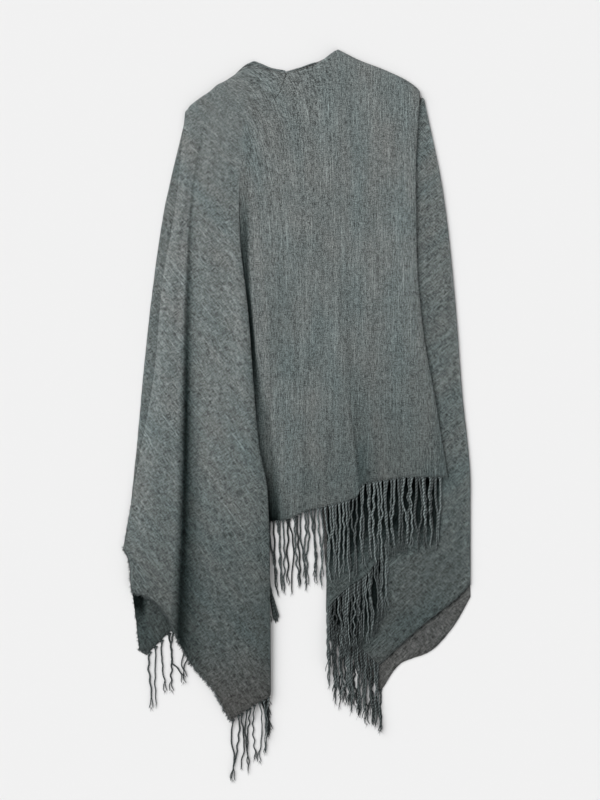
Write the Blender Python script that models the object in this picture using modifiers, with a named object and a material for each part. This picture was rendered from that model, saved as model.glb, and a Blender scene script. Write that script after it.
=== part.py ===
"""A fringed wrap with an open front, laid flat on its fronts with its back up.

The wrap is one woven rectangle, slit from one fringed end to the middle and folded there over
the shoulders. Each stretch of it that shows is a panel of its own here. A panel is a sheet
drawn across its fold lines, which run from the shoulder down to the hem.
"""

import math
from collections import namedtuple

import bmesh
import bpy
import numpy as np

CM = 0.01
MM = 0.001

# Driving sizes, in metres.
WHOLE_LENGTH = 129.0 * CM
WALL = 1.6 * MM
SEAM_GAP = 0.3 * MM
SHOULDER_HEIGHT = 2.8 * MM
SHOULDER_ROLL = 1.2 * CM
NECK_EDGE_RADIUS = 1.0 * MM
BACKING_WIDTH = 3.0 * MM
STRAND_WIDTH = 2.6 * MM
TIP_WIDTH = 1.2 * MM
STRAND_WAVE = 1.2 * MM

# The heights, in millimetres, of cloth that lies flat on the floor: half of its wall.
FLAT = (0.8, 0.8, 0.8)

# A fold line: the grid steps to the next line, where it starts and ends in centimetres below
# the highest point of the shoulder, its distance in centimetres to the right of the middle at
# six even stations, and its height in millimetres at the shoulder, halfway and at the hem.
Fold = namedtuple("Fold", "name steps top hem across heights")

LEFT_FRONT = (
    Fold("outer edge", 2, 11.4, 105.2, (-19.4, -23.6, -26.1, -27.9, -29.3, -27.3), FLAT),
    Fold("corner", 3, 9.8, 106.0, (-17.4, -19.1, -21.4, -23.7, -25.4, -26.2), FLAT),
    Fold("middle", 3, 6.6, 101.8, (-13.0, -15.6, -17.1, -19.0, -20.4, -21.7), FLAT),
    Fold("neck point", 2, 2.1, 97.3, (-7.5, -9.0, -10.4, -11.9, -13.4, -14.3), FLAT),
    Fold("neck side", 2, 3.5, 94.0, (-4.3, -5.4, -6.2, -7.2, -8.5, -9.6), FLAT),
    Fold("slit edge", 0, 3.9, 91.8, (-2.1, -2.8, -3.5, -4.1, -4.9, -5.7), FLAT),
)

RIGHT_FRONT = (
    Fold("slit edge", 2, 3.9, 102.2, (-1.7, -0.1, 1.5, 2.9, 4.4, 5.8), FLAT),
    Fold("neck side", 2, 2.4, 105.0, (3.3, 4.4, 5.5, 6.6, 7.7, 8.8), FLAT),
    Fold("neck point", 2, 0.5, 112.4, (7.2, 8.9, 10.7, 12.2, 13.6, 14.8), FLAT),
    Fold("corner", 2, 2.7, 107.8, (11.4, 13.4, 15.3, 16.6, 17.6, 18.2), FLAT),
    Fold("middle", 3, 5.0, 105.7, (17.1, 18.7, 20.7, 22.1, 23.0, 23.3), FLAT),
    Fold("side", 2, 6.8, 100.8, (19.9, 22.3, 25.0, 26.3, 27.3, 27.6), FLAT),
    Fold("outer edge", 0, 8.9, 96.1, (22.0, 25.5, 27.5, 28.8, 30.4, 30.4), FLAT),
)

RIGHT_DRAPE = (
    Fold("inner fold", 2, 13.0, 98.6, (20.1, 16.8, 12.3, 7.9, 5.4, 5.1), (2.9, 2.9, 2.9)),
    Fold("hem side", 2, 12.5, 101.3, (20.4, 17.5, 13.8, 10.3, 8.1, 7.5), (3.0, 3.0, 4.0)),
    Fold("hem middle", 2, 12.0, 104.5, (20.7, 18.8, 16.4, 13.7, 11.7, 10.7), (3.0, 3.0, 3.6)),
    Fold("corner", 3, 10.5, 108.0, (21.2, 20.3, 19.4, 17.9, 15.9, 14.3), (3.0, 3.1, 3.2)),
    Fold("selvage", 3, 8.9, 101.0, (21.8, 22.2, 23.3, 23.6, 23.1, 21.9), (3.0, 3.2, 5.0)),
    Fold("side swell", 2, 8.6, 96.6, (21.95, 23.9, 26.0, 27.1, 27.8, 27.5), (3.4, 5.4, 5.2)),
    Fold("outer edge", 0, 8.9, 93.8, (22.2, 25.5, 27.5, 28.8, 30.2, 30.1), (2.9, 2.9, 2.9)),
)

RIGHT_RETURN = (
    Fold("inner fold", 1, 13.0, 98.4, (20.1, 16.9, 12.4, 8.0, 5.4, 5.2), (5.0, 5.0, 5.2)),
    Fold("hem side", 2, 13.0, 94.8, (20.2, 18.3, 15.1, 11.4, 8.9, 8.4), (5.3, 5.4, 6.6)),
    Fold("hem middle", 2, 13.0, 91.5, (20.3, 19.2, 17.6, 16.0, 14.4, 12.8), (5.3, 5.4, 6.2)),
    Fold("hem rise", 2, 13.0, 85.5, (20.4, 19.6, 18.6, 17.9, 16.9, 15.9), (5.3, 5.3, 5.6)),
    Fold("under back", 0, 13.0, 77.5, (20.5, 19.9, 19.7, 19.9, 20.0, 19.4), (5.3, 5.3, 5.3)),
)

BACK_PANEL = (
    Fold("hidden fold", 2, 3.2, 87.0, (-7.8, -9.9, -12.4, -13.9, -15.0, -16.1), (3.4, 3.0, 3.0)),
    Fold("beside drape", 2, 3.4, 82.8, (-6.1, -8.3, -8.6, -6.8, -5.5, -4.2), (5.8, 4.6, 4.4)),
    Fold("soft trough", 2, 4.2, 82.4, (-2.0, -2.3, -2.7, -3.3, -4.2, -3.3), (5.8, 4.0, 3.2)),
    Fold("middle swell", 2, 3.6, 81.0, (0.7, 0.8, 1.0, 1.1, 1.3, 1.6), (6.2, 6.8, 5.2)),
    Fold("middle", 2, 2.5, 80.0, (3.7, 4.1, 4.6, 5.2, 5.5, 5.8), (6.6, 7.2, 8.2)),
    Fold("tuck crest", 1, 0.5, 78.4, (6.5, 6.9, 7.2, 7.4, 9.0, 10.7), (7.6, 9.6, 10.8)),
    Fold("tuck foot", 2, 0.2, 76.6, (7.2, 7.6, 7.9, 8.1, 9.6, 11.9), (7.6, 9.2, 8.6)),
    Fold("right swell", 2, 2.1, 75.6, (11.0, 11.9, 12.6, 13.3, 14.1, 15.2), (8.0, 9.8, 9.6)),
    Fold("right side", 2, 3.8, 75.1, (15.4, 16.4, 17.2, 17.8, 18.8, 20.3), (8.4, 9.4, 9.2)),
    Fold("lip crest", 2, 6.2, 75.1, (20.1, 19.6, 19.8, 20.8, 23.0, 25.3), (9.2, 10.4, 10.4)),
    Fold("lip", 1, 7.7, 75.2, (21.5, 20.8, 20.9, 21.9, 24.2, 26.4), (8.6, 9.0, 9.0)),
    Fold("lip tucked in", 0, 8.0, 75.0, (21.0, 20.3, 20.4, 21.4, 23.7, 25.9), (7.6, 7.4, 7.4)),
)

LEFT_DRAPE = (
    Fold("outer edge", 2, 11.9, 87.3, (-19.5, -21.1, -23.6, -25.0, -27.7, -30.4), (3.0, 3.2, 3.2)),
    Fold("cuff", 2, 11.0, 92.6, (-18.8, -20.6, -23.0, -24.8, -27.2, -29.1), (5.0, 9.5, 8.5)),
    Fold("outer lobe", 2, 10.1, 96.2, (-17.7, -19.8, -21.7, -22.9, -24.9, -26.1), (6.0, 13.0, 11.0)),
    Fold("lobe side", 2, 8.8, 99.6, (-16.3, -19.1, -20.1, -20.7, -21.5, -22.8), (6.2, 10.0, 9.0)),
    Fold("valley", 2, 7.7, 104.1, (-14.9, -18.4, -19.3, -19.7, -20.0, -21.0), (6.2, 4.2, 4.2)),
    Fold("valley side", 2, 6.9, 107.3, (-14.0, -17.2, -17.9, -18.1, -18.1, -18.8), (6.4, 9.0, 5.4)),
    Fold("inner lobe", 2, 6.1, 112.0, (-12.6, -15.7, -15.6, -15.4, -15.2, -14.9), (6.4, 15.5, 7.6)),
    Fold("lobe middle", 2, 5.1, 117.8, (-11.2, -13.5, -12.6, -12.0, -11.5, -11.5), (6.4, 17.5, 6.0)),
    Fold("lobe shoulder", 2, 4.1, 115.1, (-9.9, -11.6, -10.1, -9.0, -7.8, -7.7), (6.4, 17.0, 8.6)),
    Fold("inner edge", 2, 3.3, 113.0, (-8.7, -10.2, -8.1, -6.0, -4.5, -4.4), (6.2, 13.0, 8.4)),
    Fold("edge tucked in", 2, 3.25, 110.6, (-8.4, -10.1, -8.9, -7.0, -5.6, -5.5), (6.0, 9.4, 6.2)),
    Fold("hidden layer", 2, 3.2, 99.5, (-8.2, -10.1, -10.7, -10.7, -10.5, -11.2), (5.8, 7.4, 5.6)),
    Fold("hidden fold", 0, 3.2, 87.0, (-7.95, -10.0, -12.4, -13.9, -15.0, -16.1), (5.7, 5.5, 5.5)),
)

# A panel: its fold lines, its rows of the grid from shoulder to hem, whether its top rolls over
# the shoulder, and its base colour.
Panel = namedtuple("Panel", "folds rows rolled colour")

PANELS = {
    "left_front": Panel(LEFT_FRONT, 8, False, (0.060, 0.072, 0.072)),
    "right_front": Panel(RIGHT_FRONT, 9, False, (0.085, 0.088, 0.086)),
    "right_drape": Panel(RIGHT_DRAPE, 14, True, (0.115, 0.135, 0.132)),
    "right_return": Panel(RIGHT_RETURN, 9, False, (0.100, 0.118, 0.116)),
    "back_panel": Panel(BACK_PANEL, 17, True, (0.150, 0.172, 0.169)),
    "left_drape": Panel(LEFT_DRAPE, 19, True, (0.138, 0.160, 0.160)),
}

# A fringe: the panel and the two fold lines whose hem it ends, its strands, the lengths in
# centimetres of its first and last strand, and how far those two drift to the right.
Fringe = namedtuple("Fringe", "name panel first last strands lengths drifts")

FRINGES = (
    Fringe("fringe_left_front", "left_front", "corner", "slit edge", 24, (10.5, 8.0), (0.3, 2.2)),
    Fringe("fringe_right_front", "right_front", "slit edge", "neck point", 14, (12.5, 8.2), (0.0, 0.3)),
    Fringe("fringe_right_drape", "right_drape", "inner fold", "corner", 18, (12.5, 11.0), (0.0, 0.2)),
    Fringe("fringe_right_return", "right_return", "inner fold", "hem rise", 18, (11.5, 12.5), (0.2, 0.0)),
    Fringe("fringe_back", "back_panel", "hidden fold", "lip crest", 60, (10.8, 12.5), (0.0, 0.0)),
    Fringe("fringe_left_hidden", "left_drape", "edge tucked in", "hidden layer", 6, (11.5, 10.0), (1.0, 0.0)),
    Fringe("fringe_left_drape", "left_drape", "lobe middle", "inner edge", 9, (11.0, 9.0), (0.3, 0.3)),
)
FRINGE_COLOUR = (0.055, 0.066, 0.066)

# How strands hang: the shortest of them against the longest, where each one bends, how steeply
# it falls from the hem, and how many radians its wave and its length turn through.
SHORTEST_SHARE = 0.86
STATIONS_DOWN_A_STRAND = (0.08, 0.38, 0.70, 1.0)
FALL_SLOPE = 0.22
WAVE_TURN_DOWN = 5.0
WAVE_TURN_PER_STRAND = 1.9
LENGTH_TURN_PER_STRAND = 2.4

# How far around a strand what it rests on is felt, and how finely that is sampled.
REACH = 7.0 * MM
SAMPLES_BETWEEN = 7
HEAP_STEPS = 4

# The narrow rolled edges that finish the neck, as points right of the middle and below the
# shoulder, in centimetres.
NECK_EDGES = {
    "neck_edge_left": ((-8.6, 2.75), (-7.5, 2.35), (-6.1, 2.9), (-4.3, 3.6), (-2.5, 3.92)),
    "neck_edge_right": ((-1.2, 3.88), (0.7, 3.3), (2.1, 2.78), (3.3, 2.4)),
}
NECK_EDGE_COLOUR = (0.070, 0.080, 0.080)

# Shares of a panel's length at which its first rows lie, where it rolls over the shoulder.
ROLLED_ROWS = (0.0, 0.004, 0.013)
FIRST_EVEN_ROW = 0.035
CLOTH_ROUGHNESS = 0.92
SHARP_ANGLE = math.radians(40)


def clear_scene():
    """Removes whatever the scene holds, so that only the wrap is in it."""
    for thing in list(bpy.data.objects):
        bpy.data.objects.remove(thing, do_unlink=True)


def new_collection(name):
    collection = bpy.data.collections.new(name)
    bpy.context.scene.collection.children.link(collection)
    return collection


def cloth_material(name, colour):
    material = bpy.data.materials.new(name)
    material.use_nodes = True
    shader = material.node_tree.nodes["Principled BSDF"]
    shader.inputs["Base Color"].default_value = (*colour, 1.0)
    shader.inputs["Roughness"].default_value = CLOTH_ROUGHNESS
    shader.inputs["Metallic"].default_value = 0.0
    return material


def smooth(knots, values, at):
    """A smooth curve through values at the knots, which never swings past its own points."""
    knots = np.asarray(knots, float)
    values = np.asarray(values, float).reshape(len(knots), -1)
    at = np.asarray(at, float)
    rises = np.diff(values, axis=0) / np.diff(knots)[:, None]
    before, after = rises[:-1], rises[1:]
    total = before + after
    safe = np.where(total == 0.0, 1.0, total)
    slopes = np.zeros_like(values)
    slopes[0], slopes[-1] = rises[0], rises[-1]
    slopes[1:-1] = np.where(before * after > 0.0, 2.0 * before * after / safe, 0.0)
    left = np.clip(np.searchsorted(knots, at, side="right") - 1, 0, len(knots) - 2)
    width = (knots[left + 1] - knots[left])[:, None]
    t = (at[:, None] - knots[left][:, None]) / width
    return (
        values[left] * (1 + 2 * t) * (1 - t) ** 2
        + slopes[left] * width * t * (1 - t) ** 2
        + values[left + 1] * t * t * (3 - 2 * t)
        + slopes[left + 1] * width * t * t * (t - 1)
    )


def shares_down(rows):
    """Where the rows of a panel lie, closer together where the cloth rolls over the shoulder."""
    even = np.linspace(FIRST_EVEN_ROW, 1.0, rows + 1 - len(ROLLED_ROWS))
    return np.concatenate([ROLLED_ROWS, even])


def points_of_fold(fold, shares, rolled):
    """Points down one fold line, in metres from the middle of the laid-out wrap."""
    below = fold.top + (fold.hem - fold.top) * shares
    across = smooth(np.linspace(0, 1, len(fold.across)), fold.across, shares)[:, 0]
    heights = smooth(np.linspace(0, 1, len(fold.heights)), fold.heights, shares)[:, 0] * MM
    if rolled:
        turned = np.clip((below - fold.top) * CM / SHOULDER_ROLL, 0.0, 1.0)
        heights = SHOULDER_HEIGHT + (heights - SHOULDER_HEIGHT) * np.sqrt(1 - (1 - turned) ** 2)
    return np.stack([across * CM, WHOLE_LENGTH / 2 - below * CM, heights], axis=1)


def columns_of(folds, finer=1):
    """Where the grid's columns lie, counted in fold lines."""
    ends = [
        place + step / (fold.steps * finer)
        for place, fold in enumerate(folds[:-1])
        for step in range(fold.steps * finer)
    ]
    return np.array(ends + [len(folds) - 1.0])


def panel_points(panel, shares, columns):
    """The panel's middle surface: rows from shoulder to hem, each drawn across the fold lines."""
    lines = [points_of_fold(fold, shares, panel.rolled) for fold in panel.folds]
    lines = np.stack(lines, axis=1)
    whole = np.minimum(columns.astype(int), len(panel.folds) - 2)
    rows = []
    for row in lines:
        knots = np.concatenate([[0.0], np.cumsum(np.linalg.norm(np.diff(row, axis=0), axis=1))])
        at = knots[whole] + (columns - whole) * (knots[whole + 1] - knots[whole])
        rows.append(smooth(knots, row, at))
    return np.array(rows)


def new_object(name, mesh, collection, colour):
    data = bpy.data.meshes.new(name)
    mesh.to_mesh(data)
    mesh.free()
    thing = bpy.data.objects.new(name, data)
    data.materials.append(cloth_material(name, colour))
    collection.objects.link(thing)
    return thing


def add_wall(thing):
    wall = thing.modifiers.new("Cloth wall", "SOLIDIFY")
    wall.thickness = WALL
    wall.offset = 0.0


def make_panel(name, panel, collection):
    """A grid shaped over the panel's fold lines and given the cloth's wall."""
    columns = columns_of(panel.folds)
    points = panel_points(panel, shares_down(panel.rows), columns)
    across, down = len(columns) - 1, panel.rows
    mesh = bmesh.new()
    bmesh.ops.create_grid(mesh, x_segments=across, y_segments=down, size=0.5)
    for vertex in mesh.verts:
        column = round((vertex.co.x + 0.5) * across)
        row = round((0.5 - vertex.co.y) * down)
        vertex.co = points[row, column]
    thing = new_object(name, mesh, collection, panel.colour)
    thing.data.shade_smooth()
    add_wall(thing)
    return thing


class Heap:
    """The tops of what is already laid out, so that strands come to rest on them."""

    def __init__(self):
        self.tops = np.zeros((0, 3))

    def lay(self, points, half_thickness):
        tops = np.asarray(points, float).reshape(-1, 3) + (0.0, 0.0, half_thickness)
        self.tops = np.concatenate([self.tops, tops])

    def lay_panel(self, panel):
        shares = np.linspace(0, 1, panel.rows * HEAP_STEPS * 2)
        columns = columns_of(panel.folds, HEAP_STEPS)
        self.lay(panel_points(panel, shares, columns), WALL / 2)

    def height_between(self, start, end):
        """The highest top within reach of the straight way from start to end."""
        highest = 0.0
        for share in np.linspace(0, 1, SAMPLES_BETWEEN):
            x, y, _ = start + (end - start) * share
            near = np.hypot(self.tops[:, 0] - x, self.tops[:, 1] - y) < REACH
            highest = max(highest, self.tops[near, 2].max(initial=0.0))
        return highest


def hem_points(fringe):
    """Evenly spaced points along the fringed stretch of hem, with its outward directions."""
    panel = PANELS[fringe.panel]
    names = [fold.name for fold in panel.folds]
    first, last = names.index(fringe.first), names.index(fringe.last)
    columns = columns_of(panel.folds)
    columns = columns[(columns >= first) & (columns <= last)]
    hem = panel_points(panel, np.array([0.0, 1.0]), columns)[-1]
    run = np.concatenate([[0.0], np.cumsum(np.abs(np.diff(hem[:, 0])))])
    along = np.gradient(hem[:, :2], axis=0)
    outward = np.stack([along[:, 1], -along[:, 0]], axis=1) * np.sign(along[:, :1])
    outward /= np.linalg.norm(outward, axis=1)[:, None]
    even = np.linspace(0.0, run[-1], fringe.strands + 1)
    both = np.concatenate([hem, outward], axis=1)
    evened = np.stack([np.interp(even, run, both[:, axis]) for axis in range(5)], axis=1)
    return evened[:, :3], np.insert(evened[:, 3:], 2, 0.0, axis=1)


def strand_stations(fringe, number, root, heap):
    """Where a strand runs: straight down from its root, waving a little, down onto the heap."""
    share = number / (fringe.strands - 1)
    length = (fringe.lengths[0] + (fringe.lengths[1] - fringe.lengths[0]) * share) * CM
    length *= SHORTEST_SHARE + (1 - SHORTEST_SHARE) * (0.5 + 0.5 * math.sin(LENGTH_TURN_PER_STRAND * number))
    drift = (fringe.drifts[0] + (fringe.drifts[1] - fringe.drifts[0]) * share) * CM
    stations = [root]
    for down in STATIONS_DOWN_A_STRAND:
        turned = WAVE_TURN_DOWN * down + WAVE_TURN_PER_STRAND * number
        wave = STRAND_WAVE * math.sin(turned) * min(1.0, 4 * down)
        falling = root[2] - FALL_SLOPE * length * down
        stations.append(root + (drift * down + wave, -length * down, falling - root[2]))
    beneath = [heap.height_between(*pair) for pair in zip(stations, stations[1:])] + [0.0]
    for station, before, after in zip(stations[1:], beneath, beneath[1:]):
        station[2] = max(station[2], max(before, after) + SEAM_GAP + WALL / 2)
    return stations[1:]


def make_fringe(fringe, collection, heap):
    """A narrow backing just off the hem, with a strand drawn out of each of its lower faces."""
    hem, outward = hem_points(fringe)
    mesh = bmesh.new()
    bmesh.ops.create_grid(mesh, x_segments=fringe.strands, y_segments=1, size=0.5)
    for vertex in mesh.verts:
        column = round((vertex.co.x + 0.5) * fringe.strands)
        lower = vertex.co.y < 0
        off = WALL / 2 + SEAM_GAP + (BACKING_WIDTH if lower else 0.0)
        vertex.co = hem[column] + outward[column] * off - (0.0, 0.0, WALL / 2)
    made = bmesh.ops.extrude_face_region(mesh, geom=mesh.faces[:])
    top = [item for item in made["geom"] if isinstance(item, bmesh.types.BMVert)]
    bmesh.ops.translate(mesh, verts=top, vec=(0.0, 0.0, WALL))
    bmesh.ops.recalc_face_normals(mesh, faces=mesh.faces[:])
    mesh.normal_update()
    lower_faces = [face for face in mesh.faces if face.normal.y < -0.3 and abs(face.normal.z) < 0.5]
    lower_faces.sort(key=lambda face: face.calc_center_median().x)
    laid = []
    for number, face in enumerate(lower_faces):
        root = np.array(face.calc_center_median())
        stations = strand_stations(fringe, number, root, heap)
        laid.extend(draw_strand(mesh, face, root, stations))
    heap.lay(laid, WALL / 2)
    thing = new_object(fringe.name, mesh, collection, FRINGE_COLOUR)
    thing.data.set_sharp_from_angle(angle=SHARP_ANGLE)
    return thing


def draw_strand(mesh, face, root, stations):
    """Extrudes one face through the stations, narrowing it to the tip."""
    width = max(vertex.co.x for vertex in face.verts) - min(vertex.co.x for vertex in face.verts)
    place = root
    passed = [root]
    for number, station in enumerate(stations):
        made = bmesh.ops.extrude_discrete_faces(mesh, faces=[face])
        face = made["faces"][0]
        goal = STRAND_WIDTH + (TIP_WIDTH - STRAND_WIDTH) * (number / (len(stations) - 1)) ** 2
        for vertex in face.verts:
            side = (vertex.co.x - place[0]) * goal / width
            rise = math.copysign(WALL / 2, vertex.co.z - place[2])
            vertex.co = (station[0] + side, station[1], station[2] + rise)
        passed.extend(place + (station - place) * share for share in (0.25, 0.5, 0.75, 1.0))
        width = goal
        place = station
    return passed


def make_neck_edge(name, route, collection):
    """A thin roll of cloth along the neck, as a round tube."""
    curve = bpy.data.curves.new(name, "CURVE")
    curve.dimensions = "3D"
    curve.bevel_depth = NECK_EDGE_RADIUS
    curve.bevel_resolution = 1
    curve.use_fill_caps = True
    line = curve.splines.new("POLY")
    knots = np.linspace(0, 1, len(route))
    places = smooth(knots, route, np.linspace(0, 1, 2 * len(route) + 1))
    line.points.add(len(places) - 1)
    height = WALL + SEAM_GAP + NECK_EDGE_RADIUS
    for point, (right, below) in zip(line.points, places):
        point.co = (right * CM, WHOLE_LENGTH / 2 - below * CM, height, 1.0)
    curve.materials.append(cloth_material(name, NECK_EDGE_COLOUR))
    thing = bpy.data.objects.new(name, curve)
    collection.objects.link(thing)
    return thing


def centre_on_floor(things):
    """Moves the whole wrap so that its box stands on the floor with its middle at the origin."""
    bpy.context.view_layer.update()
    graph = bpy.context.evaluated_depsgraph_get()
    corners = []
    for thing in things:
        data = thing.evaluated_get(graph).to_mesh()
        corners.extend(tuple(vertex.co) for vertex in data.vertices)
        thing.evaluated_get(graph).to_mesh_clear()
    low, high = np.min(corners, axis=0), np.max(corners, axis=0)
    for thing in things:
        thing.location = (-(low[0] + high[0]) / 2, -(low[1] + high[1]) / 2, -low[2])


def main():
    clear_scene()
    collection = new_collection("Fringed wrap")
    heap = Heap()
    things = []
    for name, panel in PANELS.items():
        things.append(make_panel(name, panel, collection))
        for fringe in FRINGES:
            if fringe.panel == name:
                things.append(make_fringe(fringe, collection, heap))
        heap.lay_panel(panel)
    for name, route in NECK_EDGES.items():
        things.append(make_neck_edge(name, route, collection))
    centre_on_floor(things)


main()
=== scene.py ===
# %% [markdown]
# # A fringed wrap, laid out flat
#
# The real thing is one square of loosely woven grey cloth. It is slit from one fringed end to
# the middle, and worn with the slit in front. Here it lies on its two fronts with its back up,
# and its sides lie in folds. The camera looks straight down.
#
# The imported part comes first. It fixes every size, and each piece below is made around it.

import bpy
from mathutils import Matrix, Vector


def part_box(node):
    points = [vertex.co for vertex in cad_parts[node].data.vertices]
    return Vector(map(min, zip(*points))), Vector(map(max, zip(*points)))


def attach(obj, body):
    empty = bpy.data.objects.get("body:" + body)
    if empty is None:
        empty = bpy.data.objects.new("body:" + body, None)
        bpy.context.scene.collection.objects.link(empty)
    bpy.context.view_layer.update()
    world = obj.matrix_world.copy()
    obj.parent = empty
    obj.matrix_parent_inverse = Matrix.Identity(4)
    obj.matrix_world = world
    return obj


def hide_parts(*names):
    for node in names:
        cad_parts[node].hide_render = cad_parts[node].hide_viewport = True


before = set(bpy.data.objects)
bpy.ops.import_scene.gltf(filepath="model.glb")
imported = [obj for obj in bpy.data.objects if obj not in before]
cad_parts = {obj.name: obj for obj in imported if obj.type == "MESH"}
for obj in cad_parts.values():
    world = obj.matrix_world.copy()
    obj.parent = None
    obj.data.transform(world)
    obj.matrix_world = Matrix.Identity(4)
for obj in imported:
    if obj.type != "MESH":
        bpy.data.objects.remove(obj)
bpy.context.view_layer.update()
print("nodes in the packed part:", len(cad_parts))

# %% Bring in the tools
import math
from collections import namedtuple

import bmesh
import bpy
import numpy as np
from mathutils import Matrix, Vector

CM = 0.01
MM = 0.001

# %% [markdown]
# ## Where the fold lines run
#
# Cloth that lies in folds is easiest to draw by its fold lines: each crest, each valley and each
# edge is a line from the shoulder down to the hem. The cloth is then a smooth surface drawn
# across neighbouring lines. The same tables shaped the solids, so the fine cloth lies where they
# do. Each row also has a tone, which is painted shade: a factor on the colour for how much light
# reaches that line between the folds, since deep folds of a hanging cloth are darker than these
# low ones can be. Above 1 it is painted light.

# %% The size of the layout, and the words for a fold line
WHOLE_LENGTH = 129.0 * CM
SHOULDER_HEIGHT = 2.8 * MM
SHOULDER_ROLL = 1.2 * CM

# A line's start and end in centimetres below the highest point of the shoulder, its distance in
# centimetres to the right of the middle, its height in millimetres and its painted shade, a factor
# on the colour. Each of the last three is given at the shares of the way down that STATIONS lists
# for so many values.
Fold = namedtuple("Fold", "name top hem across heights tones")
STATIONS = {
    3: (0.0, 0.5, 1.0),
    5: (0.0, 0.1, 0.2, 0.5, 1.0),
    6: (0.0, 0.2, 0.4, 0.6, 0.8, 1.0),
    7: (0.0, 0.2, 0.4, 0.6, 0.68, 0.8, 1.0),
}
# The heights of cloth that lies flat on the floor, and the painted shade of cloth in even light, which
# leaves the colour as it is.
FLAT = (0.8, 0.8, 0.8)
EVEN = (1.0, 1.0, 1.0)
print("layout:", WHOLE_LENGTH, "m long")

# %% The two fronts, which lie flat on the floor
# The last numbers of each row are painted shade: the fronts' colour is darkened towards the hem, where the
# drapes and the back shade them, and the left front's outside stays lit.
LIT_OUTSIDE = (0.98, 0.94, 0.92, 0.90, 0.52, 0.32)
SHADED = (1.0, 0.45, 0.33)
LEFT_FRONT = (
    Fold("outer edge", 11.4, 105.2, (-19.4, -23.6, -26.1, -27.9, -29.4, -27.7), FLAT, LIT_OUTSIDE),
    Fold("corner", 9.8, 106.0, (-17.4, -19.1, -21.4, -23.7, -25.4, -26.2), FLAT, LIT_OUTSIDE),
    Fold("middle", 6.6, 101.8, (-13.0, -15.6, -17.1, -19.0, -20.4, -21.7), FLAT, SHADED),
    Fold("neck point", 2.3, 97.3, (-7.5, -9.0, -10.4, -11.9, -13.4, -14.3), FLAT, SHADED),
    Fold("neck side", 3.4, 94.0, (-4.3, -5.4, -6.2, -7.2, -8.5, -9.6), FLAT, SHADED),
    Fold("slit edge", 3.8, 91.8, (-2.1, -2.8, -3.5, -4.1, -4.9, -5.7), FLAT, SHADED),
)
BAND_PAINTED_SHADE = (1.0, 1.0, 0.95, 0.83, 0.63, 0.53)
RIGHT_FRONT = (
    Fold("slit edge", 3.9, 102.2, (-1.7, -0.1, 1.5, 2.9, 4.4, 5.8), FLAT, BAND_PAINTED_SHADE),
    Fold("neck side", 2.4, 105.0, (3.3, 4.4, 5.5, 6.6, 7.7, 8.8), FLAT, BAND_PAINTED_SHADE),
    Fold("neck point", 0.5, 112.4, (7.2, 8.9, 10.7, 12.2, 13.6, 14.8), FLAT, BAND_PAINTED_SHADE),
    Fold("corner", 2.7, 107.8, (11.4, 13.4, 15.3, 16.6, 17.6, 18.2), FLAT, BAND_PAINTED_SHADE),
    Fold("middle", 5.0, 105.7, (17.1, 18.7, 20.7, 22.1, 23.0, 23.3), FLAT, BAND_PAINTED_SHADE),
    Fold("side", 6.8, 101.0, (19.9, 22.3, 25.0, 26.3, 27.3, 27.6), FLAT, BAND_PAINTED_SHADE),
    Fold("outer edge", 8.9, 96.1, (22.0, 25.3, 27.2, 28.6, 30.1, 30.4), FLAT, BAND_PAINTED_SHADE),
)
print("fold lines of the fronts:", len(LEFT_FRONT) + len(RIGHT_FRONT))

# %% The right side, folded back beneath the back
# The last numbers of each row are painted shade: darker beneath the back's hem and towards the lower edge.
RIGHT_RETURN = (
    Fold("under back", 13.0, 77.5, (20.5, 19.9, 19.7, 19.9, 20.0, 19.4), (5.3, 5.3, 5.3), EVEN),
    Fold("hem rise", 13.0, 85.5, (20.4, 19.6, 18.6, 17.9, 16.9, 15.9), (5.3, 5.3, 5.6), (1.0, 0.7, 0.40)),
    Fold("hem middle", 13.0, 91.5, (20.3, 19.2, 17.6, 16.0, 14.4, 12.8), (5.3, 5.4, 6.2), (1.0, 0.7, 0.42)),
    Fold("hem side", 13.0, 94.8, (20.2, 18.3, 15.1, 11.4, 8.9, 8.4), (5.3, 5.4, 6.6), (1.0, 0.7, 0.45)),
    Fold("return edge", 13.0, 98.4, (20.1, 16.9, 12.4, 8.0, 5.4, 5.2), (5.0, 5.0, 5.2), (1.0, 0.7, 0.44)),
)
RIGHT_DRAPE = (
    Fold("inner fold", 13.0, 98.6, (20.1, 16.8, 12.3, 7.9, 5.4, 5.1), (2.9, 2.9, 2.9), (0.8, 0.54, 0.40)),
    Fold("hem side", 12.5, 101.3, (20.4, 17.5, 13.8, 10.3, 8.1, 7.5), (3.0, 3.0, 4.0), (0.8, 0.54, 0.40)),
    Fold(
        "hem middle", 12.0, 104.5, (20.7, 18.8, 16.4, 13.7, 11.7, 10.7),
        (3.0, 3.0, 3.6), (0.8, 0.78, 0.73, 0.64, 0.46, 0.42),
    ),
    Fold(
        "corner", 10.5, 108.0, (21.2, 20.3, 19.4, 17.9, 15.9, 14.3),
        (3.0, 3.1, 3.2), (0.9, 0.87, 0.79, 0.72, 0.53, 0.44),
    ),
    Fold(
        "selvage", 8.9, 101.0, (21.8, 22.2, 23.3, 23.6, 23.1, 21.9),
        (3.0, 3.2, 5.0), (0.90, 0.83, 0.75, 0.72, 0.58, 0.46),
    ),
    Fold(
        "side swell", 8.6, 96.6, (21.95, 23.9, 26.0, 27.1, 27.8, 27.5),
        (3.4, 5.4, 5.2), (0.92, 0.85, 0.77, 0.74, 0.63, 0.50),
    ),
    Fold(
        "outer edge", 8.9, 93.8, (22.3, 25.7, 27.6, 28.9, 30.4, 30.4),
        (2.9, 2.9, 2.9), (1.0, 1.0, 0.96, 0.90, 0.78, 0.64),
    ),
)
print("fold lines of the right side:", len(RIGHT_RETURN) + len(RIGHT_DRAPE))
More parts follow.
